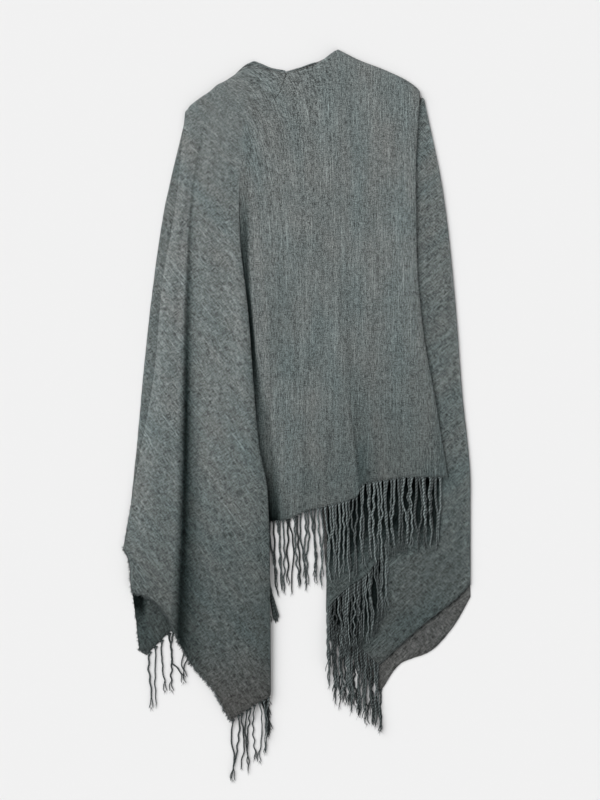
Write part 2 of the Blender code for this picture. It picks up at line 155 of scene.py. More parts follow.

# %% The left drape: two full lobes with a valley between, and a layer that turns back beneath
# The last numbers of each row are painted shade: dark in the valley, along the inner edge and in the layer
# beneath; above 1 they are painted light on the lit lobes.
IN_SHADE = (1.0, 1.0, 0.6, 0.5, 0.4, 0.4)
LEFT_DRAPE = (
    Fold(
        "outer edge", 11.1, 87.3, (-19.6, -21.1, -23.6, -25.0, -27.7, -30.4),
        (3.0, 3.2, 3.2), (1.12, 1.12, 1.10, 1.06, 0.96, 0.78),
    ),
    Fold(
        "cuff corner", 10.7, 90.0, (-19.2, -20.9, -23.4, -24.9, -27.5, -29.3),
        (4.0, 6.0, 5.4), (1.0, 1.04, 1.04, 1.0, 0.94, 0.74),
    ),
    Fold(
        "cuff", 10.1, 95.2, (-18.8, -20.6, -23.0, -24.6, -26.9, -28.8),
        (5.0, 9.5, 8.5), (1.0, 1.04, 1.04, 1.02, 0.93, 0.66),
    ),
    Fold(
        "outer lobe", 9.2, 96.0, (-17.7, -19.8, -21.7, -22.9, -24.9, -26.1),
        (6.0, 13.0, 11.0), (1.0, 1.04, 1.04, 1.02, 0.90, 0.62),
    ),
    Fold(
        "lobe side", 8.2, 99.6, (-16.3, -19.1, -20.3, -21.1, -21.7, -22.5),
        (6.2, 10.0, 9.0), (1.0, 1.10, 1.28, 1.05, 0.88, 0.58),
    ),
    Fold(
        "lobe foot", 7.7, 102.0, (-15.5, -18.7, -19.75, -20.2, -20.7, -21.5),
        (6.2, 9.2, 8.0), (1.0, 0.98, 0.90, 0.64, 0.50, 0.36),
    ),
    Fold(
        "valley", 7.2, 104.1, (-14.9, -18.2, -19.1, -19.45, -19.85, -20.6),
        (6.2, 4.2, 4.2), (1.0, 0.86, 0.38, 0.09, 0.08, 0.08),
    ),
    Fold(
        "valley side", 6.4, 107.3, (-14.0, -17.2, -17.9, -18.2, -18.3, -18.8),
        (6.4, 9.0, 5.4), (1.0, 1.0, 0.84, 0.54, 0.34, 0.28),
    ),
    Fold(
        "inner lobe", 5.7, 112.0, (-12.6, -15.7, -15.6, -15.4, -15.2, -14.9),
        (6.4, 15.5, 7.6), (1.0, 1.02, 1.0, 0.91, 0.64, 0.47),
    ),
    Fold(
        "lobe middle", 4.8, 117.8, (-11.2, -13.5, -12.6, -12.0, -11.5, -11.5),
        (6.4, 6.8, 8.6, 17.5, 6.0), (1.0, 1.02, 0.98, 0.89, 0.60, 0.43),
    ),
    Fold(
        "lobe shoulder", 3.9, 115.1, (-9.9, -11.6, -10.1, -9.0, -7.8, -7.7),
        (6.4, 6.6, 8.0, 17.0, 8.6), (1.0, 1.0, 1.10, 0.90, 0.60, 0.43),
    ),
    Fold(
        "inner edge", 3.2, 113.0, (-8.7, -10.6, -8.5, -6.75, -5.15, -4.75, -4.6),
        (6.2, 6.3, 6.7, 13.0, 8.4), (1.0, 0.98, 0.70, 0.62, 0.47, 0.36),
    ),
    Fold(
        "edge tucked in", 3.2, 110.6, (-8.4, -10.3, -9.1, -7.4, -5.75, -5.6),
        (6.1, 6.2, 6.3, 9.4, 6.2), IN_SHADE,
    ),
    Fold(
        "hidden layer", 3.2, 99.5, (-8.2, -10.0, -10.7, -10.7, -10.5, -11.2),
        (6.0, 6.1, 6.0, 7.4, 5.6), IN_SHADE,
    ),
    Fold(
        "hidden fold", 3.2, 87.0, (-7.95, -9.7, -12.4, -13.9, -15.0, -16.1),
        (5.9, 6.0, 5.7, 5.5, 5.5), IN_SHADE,
    ),
)
print("fold lines of the left drape:", len(LEFT_DRAPE))

# %% The back, from the fold beneath the drape to the lip along the right side
# The last numbers of each row are painted shade: dark beside the drape's inner edge, where its shadow falls,
# and darker towards the hem.
LOWER_DIM = (0.97, 0.97, 0.94, 0.91, 0.81, 0.65)
LOWER_DIMMER = (1.0, 1.0, 0.98, 0.94, 0.79, 0.61)
BACK = (
    Fold(
        "turned under", 3.2, 87.0, (-7.8, -9.4, -12.4, -13.9, -15.0, -16.1),
        (5.9, 5.9, 5.3, 3.0, 3.0), IN_SHADE,
    ),
    Fold(
        "beside drape", 3.4, 82.8, (-6.1, -8.8, -8.9, -7.65, -6.6, -4.4),
        (5.8, 5.7, 5.0, 4.6, 4.4), (1.0, 0.92, 0.28, 0.09, 0.48, 0.02),
    ),
    Fold(
        "in shade", 3.5, 82.7, (-5.6, -8.1, -8.2, -7.15, -4.8, -3.5),
        (5.8, 5.6, 5.0, 4.4, 4.0), (1.0, 1.0, 0.98, 1.18, 0.66, 0.05),
    ),
    Fold(
        "end of shade", 3.7, 82.6, (-5.0, -7.4, -7.5, -6.5, -3.95, -2.4),
        (5.8, 5.6, 5.0, 4.3, 3.8), (1.0, 1.0, 1.06, 1.07, 0.92, 0.54),
    ),
    Fold(
        "soft trough", 4.2, 82.4, (-2.0, -2.6, -3.4, -3.7, -2.7, -1.2),
        (5.8, 4.0, 3.2), (0.98, 0.98, 0.95, 0.82, 0.90, 0.66),
    ),
    Fold("middle swell", 3.6, 81.0, (0.7, 0.8, 1.0, 1.1, 1.3, 1.6), (6.2, 6.8, 5.2), LOWER_DIM),
    Fold("middle", 2.5, 80.0, (3.7, 4.1, 4.6, 5.2, 5.5, 5.8), (6.6, 7.2, 8.2), LOWER_DIM),
    Fold("tuck crest", 0.5, 78.4, (6.5, 6.9, 7.2, 7.4, 9.0, 10.6), (7.6, 9.6, 10.8), LOWER_DIM),
    Fold(
        "tuck foot", 0.2, 76.5, (7.2, 7.6, 7.9, 8.1, 9.6, 11.3),
        (7.6, 9.2, 8.6), (1.0, 1.0, 0.97, 0.88, 0.66, 0.40),
    ),
    Fold("right swell", 2.1, 75.6, (11.0, 11.9, 12.6, 13.3, 14.1, 15.2), (8.0, 9.8, 9.6), LOWER_DIMMER),
    Fold("right side", 3.8, 75.1, (15.4, 16.4, 17.2, 17.8, 18.8, 20.3), (8.4, 9.4, 9.2), LOWER_DIMMER),
    Fold("lip crest", 6.2, 75.1, (20.1, 19.6, 19.8, 20.8, 23.0, 25.3), (9.2, 10.4, 10.4), LOWER_DIMMER),
    Fold("lip", 7.7, 75.2, (21.5, 20.8, 20.9, 21.9, 24.2, 26.4), (8.6, 9.0, 9.0), (0.9, 0.8, 0.6)),
    Fold("lip tucked in", 8.0, 75.0, (21.0, 20.3, 20.4, 21.4, 23.7, 25.9), (7.6, 7.4, 7.4), (0.7, 0.6, 0.5)),
)
print("fold lines of the back:", len(BACK))

# %% [markdown]
# ## From fold lines to a cloth
#
# A smooth curve that never swings past its own points keeps a flat stretch flat and a crest at
# its height. The same curve is used down each fold line and across all of them.

# %% A smooth curve through the values of a table
def smooth(knots, values, at, sharp=()):
    """Values at the places asked for, on a curve that never swings past its own points.

    At a sharp knot the second value, y, turns a corner.
    """
    knots = np.asarray(knots, float)
    values = np.asarray(values, float).reshape(len(knots), -1)
    at = np.asarray(at, float)
    rises = np.diff(values, axis=0) / np.diff(knots)[:, None]
    before, after = rises[:-1], rises[1:]
    total = before + after
    safe = np.where(total == 0.0, 1.0, total)
    slopes = np.zeros_like(values)
    slopes[0], slopes[-1] = rises[0], rises[-1]
    slopes[1:-1] = np.where(before * after > 0.0, 2.0 * before * after / safe, 0.0)
    arriving = slopes.copy()
    for knot in sharp:
        arriving[knot, 1], slopes[knot, 1] = rises[knot - 1, 1], rises[knot, 1]
    left = np.clip(np.searchsorted(knots, at, side="right") - 1, 0, len(knots) - 2)
    width = (knots[left + 1] - knots[left])[:, None]
    t = (at[:, None] - knots[left][:, None]) / width
    return (
        values[left] * (1 + 2 * t) * (1 - t) ** 2
        + slopes[left] * width * t * (1 - t) ** 2
        + values[left + 1] * t * t * (3 - 2 * t)
        + arriving[left + 1] * width * t * t * (t - 1)
    )


print("halfway up a step:", round(float(smooth([0, 1, 2], [0, 1, 1], [0.5])[0, 0]), 3))

# %% [markdown]
# The solids were moved a little, to centre them on the floor. Two corners of the flat fronts say
# by how much, so that the cloth can be moved with them.

# %% Find out how far the layout was moved
def table_point(across, below):
    return np.array([across * CM, WHOLE_LENGTH / 2 - below * CM])


slit_top = table_point(LEFT_FRONT[-1].across[0], LEFT_FRONT[-1].top)
lowest_hem = table_point(RIGHT_FRONT[2].across[-1], RIGHT_FRONT[2].hem)
moved_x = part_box("left_front")[1].x - slit_top[0]
moved_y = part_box("right_front")[0].y - lowest_hem[1]


def laid_point(across, below):
    """The place in metres of a point that a table gives in centimetres."""
    return table_point(across, below) + (moved_x, moved_y)


print("moved by", round(moved_x * 1000, 2), round(moved_y * 1000, 2), "mm")

# %% The points, painted shades and thread turns down one fold line
# The share of the way down at which the threads have turned from their lean at the shoulder to
# the one below it.
LEAN_REACHED = 0.22


def line_down(fold, shares, rolled, leans):
    """Rows of x, y, z, painted shade and lean, which is 1 where the threads lie slanted and 0 where they
    hang.
    """
    below = fold.top + (fold.hem - fold.top) * shares
    across, heights, tones = (
        smooth(STATIONS[len(values)], values, shares)[:, 0]
        for values in (fold.across, fold.heights, fold.tones)
    )
    heights = heights * MM
    if rolled:
        turned = np.clip((below - fold.top) * CM / SHOULDER_ROLL, 0.0, 1.0)
        heights = SHOULDER_HEIGHT + (heights - SHOULDER_HEIGHT) * np.sqrt(1 - (1 - turned) ** 2)
    leaning = leans[0] + (leans[1] - leans[0]) * np.clip(shares / LEAN_REACHED, 0.0, 1.0)
    y = WHOLE_LENGTH / 2 - below * CM
    return np.stack([across * CM + moved_x, y + moved_y, heights, tones, leaning], axis=1)


print("the threads of the drapes are fully slanted", LEAN_REACHED, "of the way down")

# %% [markdown]
# A piece of cloth may cover several panels: the back and the left drape are one cloth, and so
# are the two layers of the right side. Their fold lines simply follow on from each other.

# %% Draw the whole surface across the fold lines
# A panel's fold lines, whether it rolls over the shoulder, and for each line how far the threads
# lean at the shoulder and below it.
Panel = namedtuple("Panel", "folds rolled leans")
COLUMN_PITCH = 4.0 * MM


def fold_lines(panels, shares):
    lines = []
    for panel in panels:
        for fold, leans in zip(panel.folds, panel.leans):
            lines.append(line_down(fold, shares, panel.rolled, leans))
    return np.stack(lines, axis=1)


def column_places(lines):
    """Where the grid's columns lie, counted in fold lines, about one pitch apart."""
    widest = np.linalg.norm(np.diff(lines[:, :, :3], axis=1), axis=2).max(axis=0)
    steps = np.maximum(2, np.ceil(widest / COLUMN_PITCH)).astype(int)
    parts = [place + np.arange(count) / count for place, count in enumerate(steps)]
    return np.concatenate(parts + [[float(len(steps))]])


def surface(lines, places, sharp):
    whole = np.minimum(places.astype(int), lines.shape[1] - 2)
    rows = []
    for row in lines:
        run = np.concatenate([[0.0], np.cumsum(np.linalg.norm(np.diff(row[:, :3], axis=0), axis=1))])
        at = run[whole] + (places - whole) * (run[whole + 1] - run[whole])
        rows.append(smooth(run, row, at, sharp))
    return np.array(rows)


print("columns about", COLUMN_PITCH * 1000, "mm apart")

# %% [markdown]
# ## Creases and ripples
#
# Real cloth keeps the marks of how it was folded and worn. Each crease here is drawn as a line
# with a width and a height of its own; below zero it is a groove. A soft ripple made of a
# few long waves keeps the stretches between the creases from looking ironed.

# %% The creases, listed one by one
# Starts and ends in centimetres right of the middle and below the shoulder; millimetres wide and high.
Crease = namedtuple("Crease", "x0 y0 x1 y1 wide high")
BACK_CREASES = (
    Crease(-1.2, 5.5, -4.6, 30.0, 11.0, 0.9),
    Crease(-3.4, 14.0, -5.2, 47.0, 8.0, -1.1),
    Crease(-4.0, 55.0, -5.0, 73.0, 5.0, -2.4),
    Crease(1.4, 8.0, 0.2, 38.0, 9.0, -0.8),
    Crease(2.4, 30.0, 3.3, 66.0, 12.0, 1.0),
    Crease(5.2, 4.0, 5.0, 26.0, 7.0, 0.7),
    Crease(7.6, 52.0, 11.6, 76.5, 3.4, -2.0),
    Crease(9.6, 3.0, 11.6, 22.0, 10.0, -0.9),
    Crease(12.4, 24.0, 13.2, 60.0, 13.0, 0.9),
    Crease(14.6, 9.0, 19.0, 17.0, 8.0, 0.8),
    Crease(16.0, 30.0, 15.4, 55.0, 9.0, -0.8),
    Crease(18.6, 46.0, 20.6, 73.0, 10.0, 0.9),
)
DRAPE_CREASES = (
    Crease(-17.6, 16.0, -14.2, 34.0, 7.0, -1.2),
    Crease(-12.6, 16.0, -14.6, 36.0, 8.0, 1.0),
    Crease(-22.5, 34.0, -20.6, 60.0, 9.0, 1.3),
    Crease(-24.6, 40.0, -24.2, 72.0, 7.0, -1.2),
    Crease(-26.6, 66.0, -23.4, 92.0, 8.0, 1.1),
    Crease(-15.3, 49.0, -14.0, 71.0, 3.4, -0.9),
    Crease(-13.4, 44.0, -12.0, 80.0, 10.0, -0.9),
    Crease(-10.6, 36.0, -8.8, 70.0, 8.0, 1.2),
    Crease(-12.6, 82.0, -7.0, 104.0, 9.0, -1.2),
    Crease(-16.0, 92.0, -11.6, 110.0, 8.0, 0.9),
    Crease(-8.2, 78.0, -5.6, 100.0, 6.0, 1.0),
    Crease(-28.2, 78.0, -27.0, 90.0, 5.0, -1.3),
)
RIGHT_CREASES = (
    Crease(25.0, 22.0, 26.4, 52.0, 7.0, 0.8),
    Crease(27.4, 50.0, 25.0, 84.0, 8.0, -1.0),
    Crease(22.4, 80.0, 28.6, 88.0, 8.0, 0.9),
    Crease(12.2, 97.0, 20.0, 84.0, 9.0, -0.9),
    Crease(14.6, 101.0, 24.0, 92.0, 8.0, 0.8),
    Crease(17.0, 80.0, 15.4, 98.0, 9.0, 0.7),
)
FRONT_CREASES = (
    Crease(-24.4, 96.0, -23.0, 105.0, 3.0, 0.8),
    Crease(-26.4, 98.0, -25.2, 105.6, 3.0, 0.6),
    Crease(20.4, 105.0, 28.6, 96.0, 6.0, 0.7),
)
print("creases drawn by hand:", sum(map(len, (BACK_CREASES, DRAPE_CREASES, RIGHT_CREASES, FRONT_CREASES))))

# %% Lay the creases and the ripple into a surface
def crease_height(crease, x, y):
    start = laid_point(crease.x0, crease.y0)
    along = laid_point(crease.x1, crease.y1) - start
    length = np.hypot(*along)
    share = ((x - start[0]) * along[0] + (y - start[1]) * along[1]) / length**2
    off = ((x - start[0]) * along[1] - (y - start[1]) * along[0]) / length
    fade = np.sin(np.pi * np.clip(share, 0.0, 1.0)) ** 0.8
    return crease.high * MM * fade * np.exp(-((off / (crease.wide * MM)) ** 2))


WAVES = 12
WAVE_LENGTHS = (22.0, 90.0)
WAVE_TURN = 0.30


def ripple_height(x, y, seed, high, slant):
    """A few long waves, whose crests run down the cloth and lean by the slant."""
    chance = np.random.default_rng(seed)
    total = np.zeros_like(x)
    for _ in range(WAVES):
        length = chance.uniform(*WAVE_LENGTHS) * MM
        turn = slant + chance.normal(0.0, WAVE_TURN)
        phase = chance.uniform(0.0, 2 * math.pi)
        total += np.sin(2 * math.pi * (x * math.cos(turn) + y * math.sin(turn)) / length + phase)
    return total * high / math.sqrt(WAVES)


print("a ripple of 0.3 mm has crests up to", round(0.3 * math.sqrt(WAVES), 2), "mm high")

# %% [markdown]
# ## The grid that becomes the cloth
#
# Blender's grid operator makes the faces. Each vertex is then moved to its place on the surface,
# which is the digital version of laying out a flat cloth. The layout seen from above also serves
# as the UV map, in metres, so a thread in the material has its real width. On the left the
# threads of the back fan out towards the shoulder, as they do on the real one.

# %% Shape a grid, and fan the threads
WALL = 0.9 * MM
# The fan fades out over this length below the shoulder. It is full at the left one of its edges
# and ends at the right one.
FAN_LENGTH = 14.0 * CM
FAN_LEAN = 1.05
FAN_EDGES = (-12.0 * CM, 6.0 * CM)


def fanned(x, y):
    """How far a hanging thread has moved to the left, near the shoulder and left of the middle."""
    below = (WHOLE_LENGTH / 2 - y) / FAN_LENGTH
    left = np.clip((FAN_EDGES[1] - x) / (FAN_EDGES[1] - FAN_EDGES[0]), 0.0, 1.0)
    return FAN_LEAN * FAN_LENGTH * np.exp(-below) * left


def shaped_grid(name, points):
    """A mesh of the points' rows and columns, and what the points say of each of its vertices."""
    rows, columns = points.shape[:2]
    mesh = bmesh.new()
    bmesh.ops.create_grid(mesh, x_segments=columns - 1, y_segments=rows - 1, size=0.5)
    data = bpy.data.meshes.new(name)
    mesh.to_mesh(data)
    mesh.free()
    flat = np.zeros(len(data.vertices) * 3)
    data.vertices.foreach_get("co", flat)
    flat = flat.reshape(-1, 3)
    column = np.rint((flat[:, 0] + 0.5) * (columns - 1)).astype(int)
    row = np.rint((0.5 - flat[:, 1]) * (rows - 1)).astype(int)
    placed = points[row, column]
    data.vertices.foreach_set("co", placed[:, :3].ravel())
    return data, placed


print("cloth", WALL * 1000, "mm thick")

# %% Write the threads' map and the painted shade onto a cloth, and give it its wall
def write_map(data, placed):
    """The map in metres, seen from above, and the painted shade and the lean of each point."""
    corners = np.zeros(len(data.loops), int)
    data.loops.foreach_get("vertex_index", corners)
    x, y = placed[corners, 0], placed[corners, 1]
    layer = data.uv_layers.new(name="threads")
    layer.data.foreach_set("uv", np.stack([x + fanned(x, y), y], axis=1).ravel())
    for name, column in (("tone", 3), ("lean", 4)):
        values = data.attributes.new(name, "FLOAT", "POINT")
        values.data.foreach_set("value", placed[:, column].astype(np.float32))


def make_cloth(name, points, material):
    data, placed = shaped_grid(name, points)
    write_map(data, placed)
    data.materials.append(material)
    data.shade_smooth()
    cloth = bpy.data.objects.new(name, data)
    bpy.context.scene.collection.objects.link(cloth)
    wall = cloth.modifiers.new("Cloth wall", "SOLIDIFY")
    wall.thickness = WALL
    wall.offset = 0.0
    print(name, len(data.polygons), "faces")
    return cloth


# %% [markdown]
# ## The woven cloth's finish
#
# The cloth is a plain weave of uneven melange yarns. From arm's length it shows as fine streaks
# along the warp, shorter ones along the weft, pale slubs, and broad soft bands where the dye
# shifts from blue grey to warm grey. Each of those is one noise texture, stretched along the
# thread it belongs to. Where two yarns cross, one or the other is on top, which shows as a small
# square of its own shade. A short helper keeps the node code readable.

# %% A helper that adds one node and links it
def add(tree, kind, inputs=None, **settings):
    node = tree.nodes.new(kind)
    for name, value in settings.items():
        setattr(node, name, value)
    for socket, value in (inputs or {}).items():
        if isinstance(value, bpy.types.NodeSocket):
            tree.links.new(value, node.inputs[socket])
        else:
            node.inputs[socket].default_value = value
    return node


def weigh(tree, terms, start):
    """start plus each value times its weight, with the value's middle taken as 0.5."""
    total = start - sum(0.5 * weight for _, weight in terms)
    for value, weight in terms:
        sum_so_far = add(tree, "ShaderNodeMath", {0: value, 1: weight, 2: total}, operation="MULTIPLY_ADD")
        total = sum_so_far.outputs[0]
    return total


def stretched(tree, place, across, along, seed, detail=2.0):
    """Noise in streaks: this many metres across, and this many along the cloth."""
    mapped = add(tree, "ShaderNodeMapping", {"Vector": place, "Location": (seed, 2.7 * seed, 0.0)})
    mapped.inputs["Scale"].default_value = (1 / across, 1 / along, 1.0)
    noise = add(tree, "ShaderNodeTexNoise", {"Vector": mapped.outputs[0], "Scale": 1.0, "Detail": detail})
    noise.noise_dimensions = "2D"
    return noise.outputs["Fac"]


print("helpers for the finishes are ready")

# %% The grains of the weave
# Each grain is so many millimetres across the warp and so many along it. The seed moves its
# pattern away from the others'.
Grain = namedtuple("Grain", "across along seed detail")
GRAINS = {
    "warp": Grain(1.2, 12, 1.0, 2.0),
    "weft": Grain(11, 1.2, 2.0, 2.0),
    "speck": Grain(1.2, 1.2, 3.0, 2.0),
    "streak": Grain(6, 190, 4.0, 3.0),
    "patch": Grain(60, 90, 5.0, 2.0),
    "slub": Grain(1.8, 100, 6.0, 2.0),
    "dye": Grain(40, 260, 7.0, 2.0),
}
YARN_PITCH = 1.1 * MM
# How much each grain adds to the shade, where the cloth hangs straight and where it lies slanted.
HANGING = {"warp": 2.2, "weft": 1.1, "speck": 1.6, "crossing": 1.1, "streak": 0.7, "patch": 0.2}
SLANTING = {"warp": 2.9, "weft": 2.8, "speck": 1.1, "crossing": 1.2, "streak": 0.5, "patch": 0.2}
# How much each grain adds to the share of warm grey, and to the height of the bump.
HUES = {"dye": 1.0, "patch": 0.8, "speck": 1.0}
HEIGHTS = {"warp": 1.0, "weft": 1.0, "speck": 1.0}
print("grains of the weave:", len(GRAINS), "and the crossings")

# %% One set of woven threads
SLUB_RANGE = {"From Min": 0.61, "From Max": 0.78}
SLUB_SHADE = 0.9
SHADE_LIMITS = {"Min": 0.25, "Max": 2.1}
WARM_SHARE = 0.42


def weigh_grains(tree, grains, weights, middle):
    return weigh(tree, [(grains[name], weight) for name, weight in weights.items()], middle)


def woven_threads(tree, place, weights):
    """Shade, hue and height of a plain weave, whose warp runs along the map's second axis."""
    grains = {
        name: stretched(tree, place, grain.across * MM, grain.along * MM, grain.seed, grain.detail)
        for name, grain in GRAINS.items()
    }
    pitch = (YARN_PITCH, YARN_PITCH, 1.0)
    cell = add(tree, "ShaderNodeVectorMath", {0: place, 1: pitch}, operation="SNAP").outputs[0]
    crossing = add(tree, "ShaderNodeTexWhiteNoise", {"Vector": cell}, noise_dimensions="2D")
    grains["crossing"] = crossing.outputs["Value"]
    slub = add(tree, "ShaderNodeMapRange", {"Value": grains["slub"], **SLUB_RANGE}).outputs[0]
    shade = weigh_grains(tree, grains, weights, 1.0)
    bounded = add(tree, "ShaderNodeClamp", {"Value": shade, **SHADE_LIMITS}).outputs[0]
    lit = add(tree, "ShaderNodeMath", {0: slub, 1: SLUB_SHADE, 2: bounded}, operation="MULTIPLY_ADD")
    hue = weigh_grains(tree, grains, HUES, WARM_SHARE)
    height = weigh_grains(tree, grains, HEIGHTS, 0.5)
    return lit.outputs[0], hue, height


def mixed(tree, share, first, second, kind="FLOAT"):
    """The first value or colour where the share is 0, and the second where it is 1."""
    node = add(tree, "ShaderNodeMix", data_type=kind)
    sockets = [s for s in node.inputs if s.enabled]
    for socket, value in zip(sockets, (share, first, second)):
        if isinstance(value, bpy.types.NodeSocket):
            tree.links.new(value, socket)
        else:
            socket.default_value = value
    return next(s for s in node.outputs if s.enabled)


print("threads are drawn", GRAINS["warp"].across, "mm wide, which is a yarn with its fuzz")

# %% The whole finish of the woven cloth
BLUE_GREY = (0.121, 0.150, 0.150, 1.0)
WARM_GREY = (0.150, 0.155, 0.149, 1.0)
TIP_GREY = (0.158, 0.148, 0.142, 1.0)
# The lowest corners turn to the tip's grey between these two places down the map, in metres.
TIP_RANGE = {"From Min": -0.39, "From Max": -0.50}
# Where shade is painted in, its red falls by the painted shade to this power more than its green and blue
# do, which tints the painted shade teal.
SHADE_TINT = 0.10
# Where shade is painted in, the cloth gleams less, so these two are multiplied by the painted shade.
GLEAMS = {"Specular IOR Level": 0.25, "Sheen Weight": 0.12}


def woven_cloth(name, slant, blue=BLUE_GREY, warm=WARM_GREY):
    """Hanging threads and slanted threads, mixed by the cloth's own lean, and darkened by its painted shade.
    """
    material = bpy.data.materials.new(name)
    material.use_nodes = True
    tree = material.node_tree
    shader = tree.nodes["Principled BSDF"]
    place = add(tree, "ShaderNodeUVMap", uv_map="threads").outputs[0]
    turned = add(tree, "ShaderNodeMapping", {"Vector": place, "Rotation": (0.0, 0.0, slant)}).outputs[0]
    lean = add(tree, "ShaderNodeAttribute", attribute_name="lean").outputs["Fac"]
    tone = add(tree, "ShaderNodeAttribute", attribute_name="tone").outputs["Fac"]
    hanging, slanted = woven_threads(tree, place, HANGING), woven_threads(tree, turned, SLANTING)
    shade, hue, height = (mixed(tree, lean, one, two) for one, two in zip(hanging, slanted))
    # Painted shade: the weave's shade is multiplied by it, and its tint turns shaded spots teal.
    weave_in_painted_shade = add(tree, "ShaderNodeMath", {0: shade, 1: tone}, operation="MULTIPLY")
    bounded = add(tree, "ShaderNodeClamp", {"Value": hue})
    body = mixed(tree, bounded.outputs[0], blue, warm, "RGBA")
    down_map = add(tree, "ShaderNodeSeparateXYZ", {"Vector": place}).outputs[1]
    near_tip = add(tree, "ShaderNodeMapRange", {"Value": down_map, **TIP_RANGE}).outputs[0]
    dyed = mixed(tree, near_tip, body, TIP_GREY, "RGBA")
    painted_shade_red = add(tree, "ShaderNodeMath", {0: tone, 1: SHADE_TINT}, operation="POWER").outputs[0]
    painted_shade_tint = add(tree, "ShaderNodeCombineXYZ", {0: painted_shade_red, 1: 1.0, 2: 1.0}).outputs[0]
    painted_shade_tinted = add(tree, "ShaderNodeVectorMath", {0: dyed, 1: painted_shade_tint}, operation="MULTIPLY").outputs[0]
    colour = add(tree, "ShaderNodeVectorMath", {0: painted_shade_tinted, "Scale": weave_in_painted_shade.outputs[0]}, operation="SCALE")
    bump = add(tree, "ShaderNodeBump", {"Height": height, "Strength": 0.55, "Distance": 0.8 * MM})
    tree.links.new(colour.outputs[0], shader.inputs["Base Color"])
    tree.links.new(bump.outputs[0], shader.inputs["Normal"])
    for socket, full in GLEAMS.items():
        gleam = add(tree, "ShaderNodeMath", {0: tone, 1: full}, operation="MULTIPLY").outputs[0]
        tree.links.new(gleam, shader.inputs[socket])
    shader.inputs["Roughness"].default_value = 0.93
    shader.inputs["Sheen Roughness"].default_value = 0.6
    return material


# How far the threads of the two drapes are turned from straight down.
LEFT_SLANT = math.radians(-36)
RIGHT_SLANT = math.radians(46)
BAND_BLUE = (0.141, 0.143, 0.141, 1.0)
BAND_WARM = (0.155, 0.144, 0.139, 1.0)
left_weave = woven_cloth("woven_left", LEFT_SLANT)
right_weave = woven_cloth("woven_right", RIGHT_SLANT)
band_weave = woven_cloth("woven_band", RIGHT_SLANT, BAND_BLUE, BAND_WARM)
print("finishes:", left_weave.name, right_weave.name, band_weave.name)

# %% [markdown]
# ## The four pieces of cloth
#
# The rows lie closer together near the shoulder, where the cloth rolls over its edge. The list
# of leans says how slanted the threads are on each fold line, at the shoulder and below it.

# %% Measure out the rows and the panels
# The first rows lie at these shares of the way down, and the others evenly below them.
SHOULDER_ROWS = (0.0, 0.002, 0.005, 0.009, 0.014, 0.021)


def rows_down(count):
    return np.concatenate([SHOULDER_ROWS, np.linspace(0.029, 1.0, count)])


SLANTED = (1.0, 1.0)
STRAIGHT = (0.0, 0.0)
# At the shoulder the left drape's threads straighten line by line towards the back. The last
# three lines are the layer that turns back beneath it, where they straighten all the way down.
STRAIGHTENED = 0.065
shown_leans = [(1.0 - STRAIGHTENED * number, 1.0) for number in range(len(LEFT_DRAPE) - 3)]
drape_leans = shown_leans + [(0.2, 0.6), (0.1, 0.3), STRAIGHT]
panels = {
    "left_front": Panel(LEFT_FRONT, False, [SLANTED] * len(LEFT_FRONT)),
    "right_front": Panel(RIGHT_FRONT, False, [SLANTED] * len(RIGHT_FRONT)),
    "right_return": Panel(RIGHT_RETURN, False, [SLANTED] * len(RIGHT_RETURN)),
    "right_drape": Panel(RIGHT_DRAPE, True, [SLANTED] * len(RIGHT_DRAPE)),
    "left_drape": Panel(LEFT_DRAPE, True, drape_leans),
    "back_panel": Panel(BACK, True, [STRAIGHT] * len(BACK)),
}
print("panels:", len(panels))

# %% Shape one cloth out of its panels
Layout = namedtuple("Layout", "points places names")
# The fold lines at whose foot the hem turns a sharp corner.
CORNERS = (
    "left_drape: lobe middle", "left_drape: cuff corner", "left_drape: cuff", "right_drape: corner",
    "left_front: corner", "right_front: neck point", "back_panel: tuck crest", "back_panel: tuck foot",
)
# How far a hem wanders, and how far it does where it is badly frayed: from the left drape's outer
# edge to this line.
RAGGED = 0.5 * MM
FRAYED = 2.8 * MM
FRAYED_TO = "left_drape: lobe middle"
# The outer edge wanders this share as far, and only below its first rows.
EDGE_SHARE = 0.6
EDGE_ROWS = 20
# Creases and ripples fade out towards both ends, over one part in so many of the length.
END_PARTS = 30
LOWEST = 0.55 * MM


def lay_out(names, rows, seed, creases, ripple, slant):
    """The points of one cloth, and which of its columns belong to which panel."""
    shares = rows_down(rows)
    lines = fold_lines([panels[name] for name in names], shares)
    places = column_places(lines)
    folds = [f"{name}: {fold.name}" for name in names for fold in panels[name].folds]
    points = surface(lines, places, [folds.index(corner) for corner in CORNERS if corner in folds])
    x, y = points[:, :, 0], points[:, :, 1]
    lifted = ripple_height(x, y, len(names) + seed, ripple * MM, slant)
    for crease in creases:
        lifted += crease_height(crease, x, y)
    near_hem = np.clip((1 - shares) * END_PARTS, 0.0, 1.0)[:, None]
    near_top = np.clip(shares * END_PARTS, 0.0, 1.0)[:, None]
    points[:, :, 2] = np.maximum(points[:, :, 2] + lifted * near_hem * near_top, LOWEST)
    chance = np.random.default_rng(seed)
    frayed_places = folds.index(FRAYED_TO) if FRAYED_TO in folds else 0
    wander = np.where(places < frayed_places, FRAYED, RAGGED)
    points[-1, :, 1] += chance.uniform(-1.0, 1.0, len(places)) * wander
    points[EDGE_ROWS:, 0, 0] += chance.uniform(-1.0, 1.0, len(points) - EDGE_ROWS) * RAGGED * EDGE_SHARE
    return Layout(points, places, folds)


print("a frayed hem wanders", FRAYED * 1000, "mm up and down")

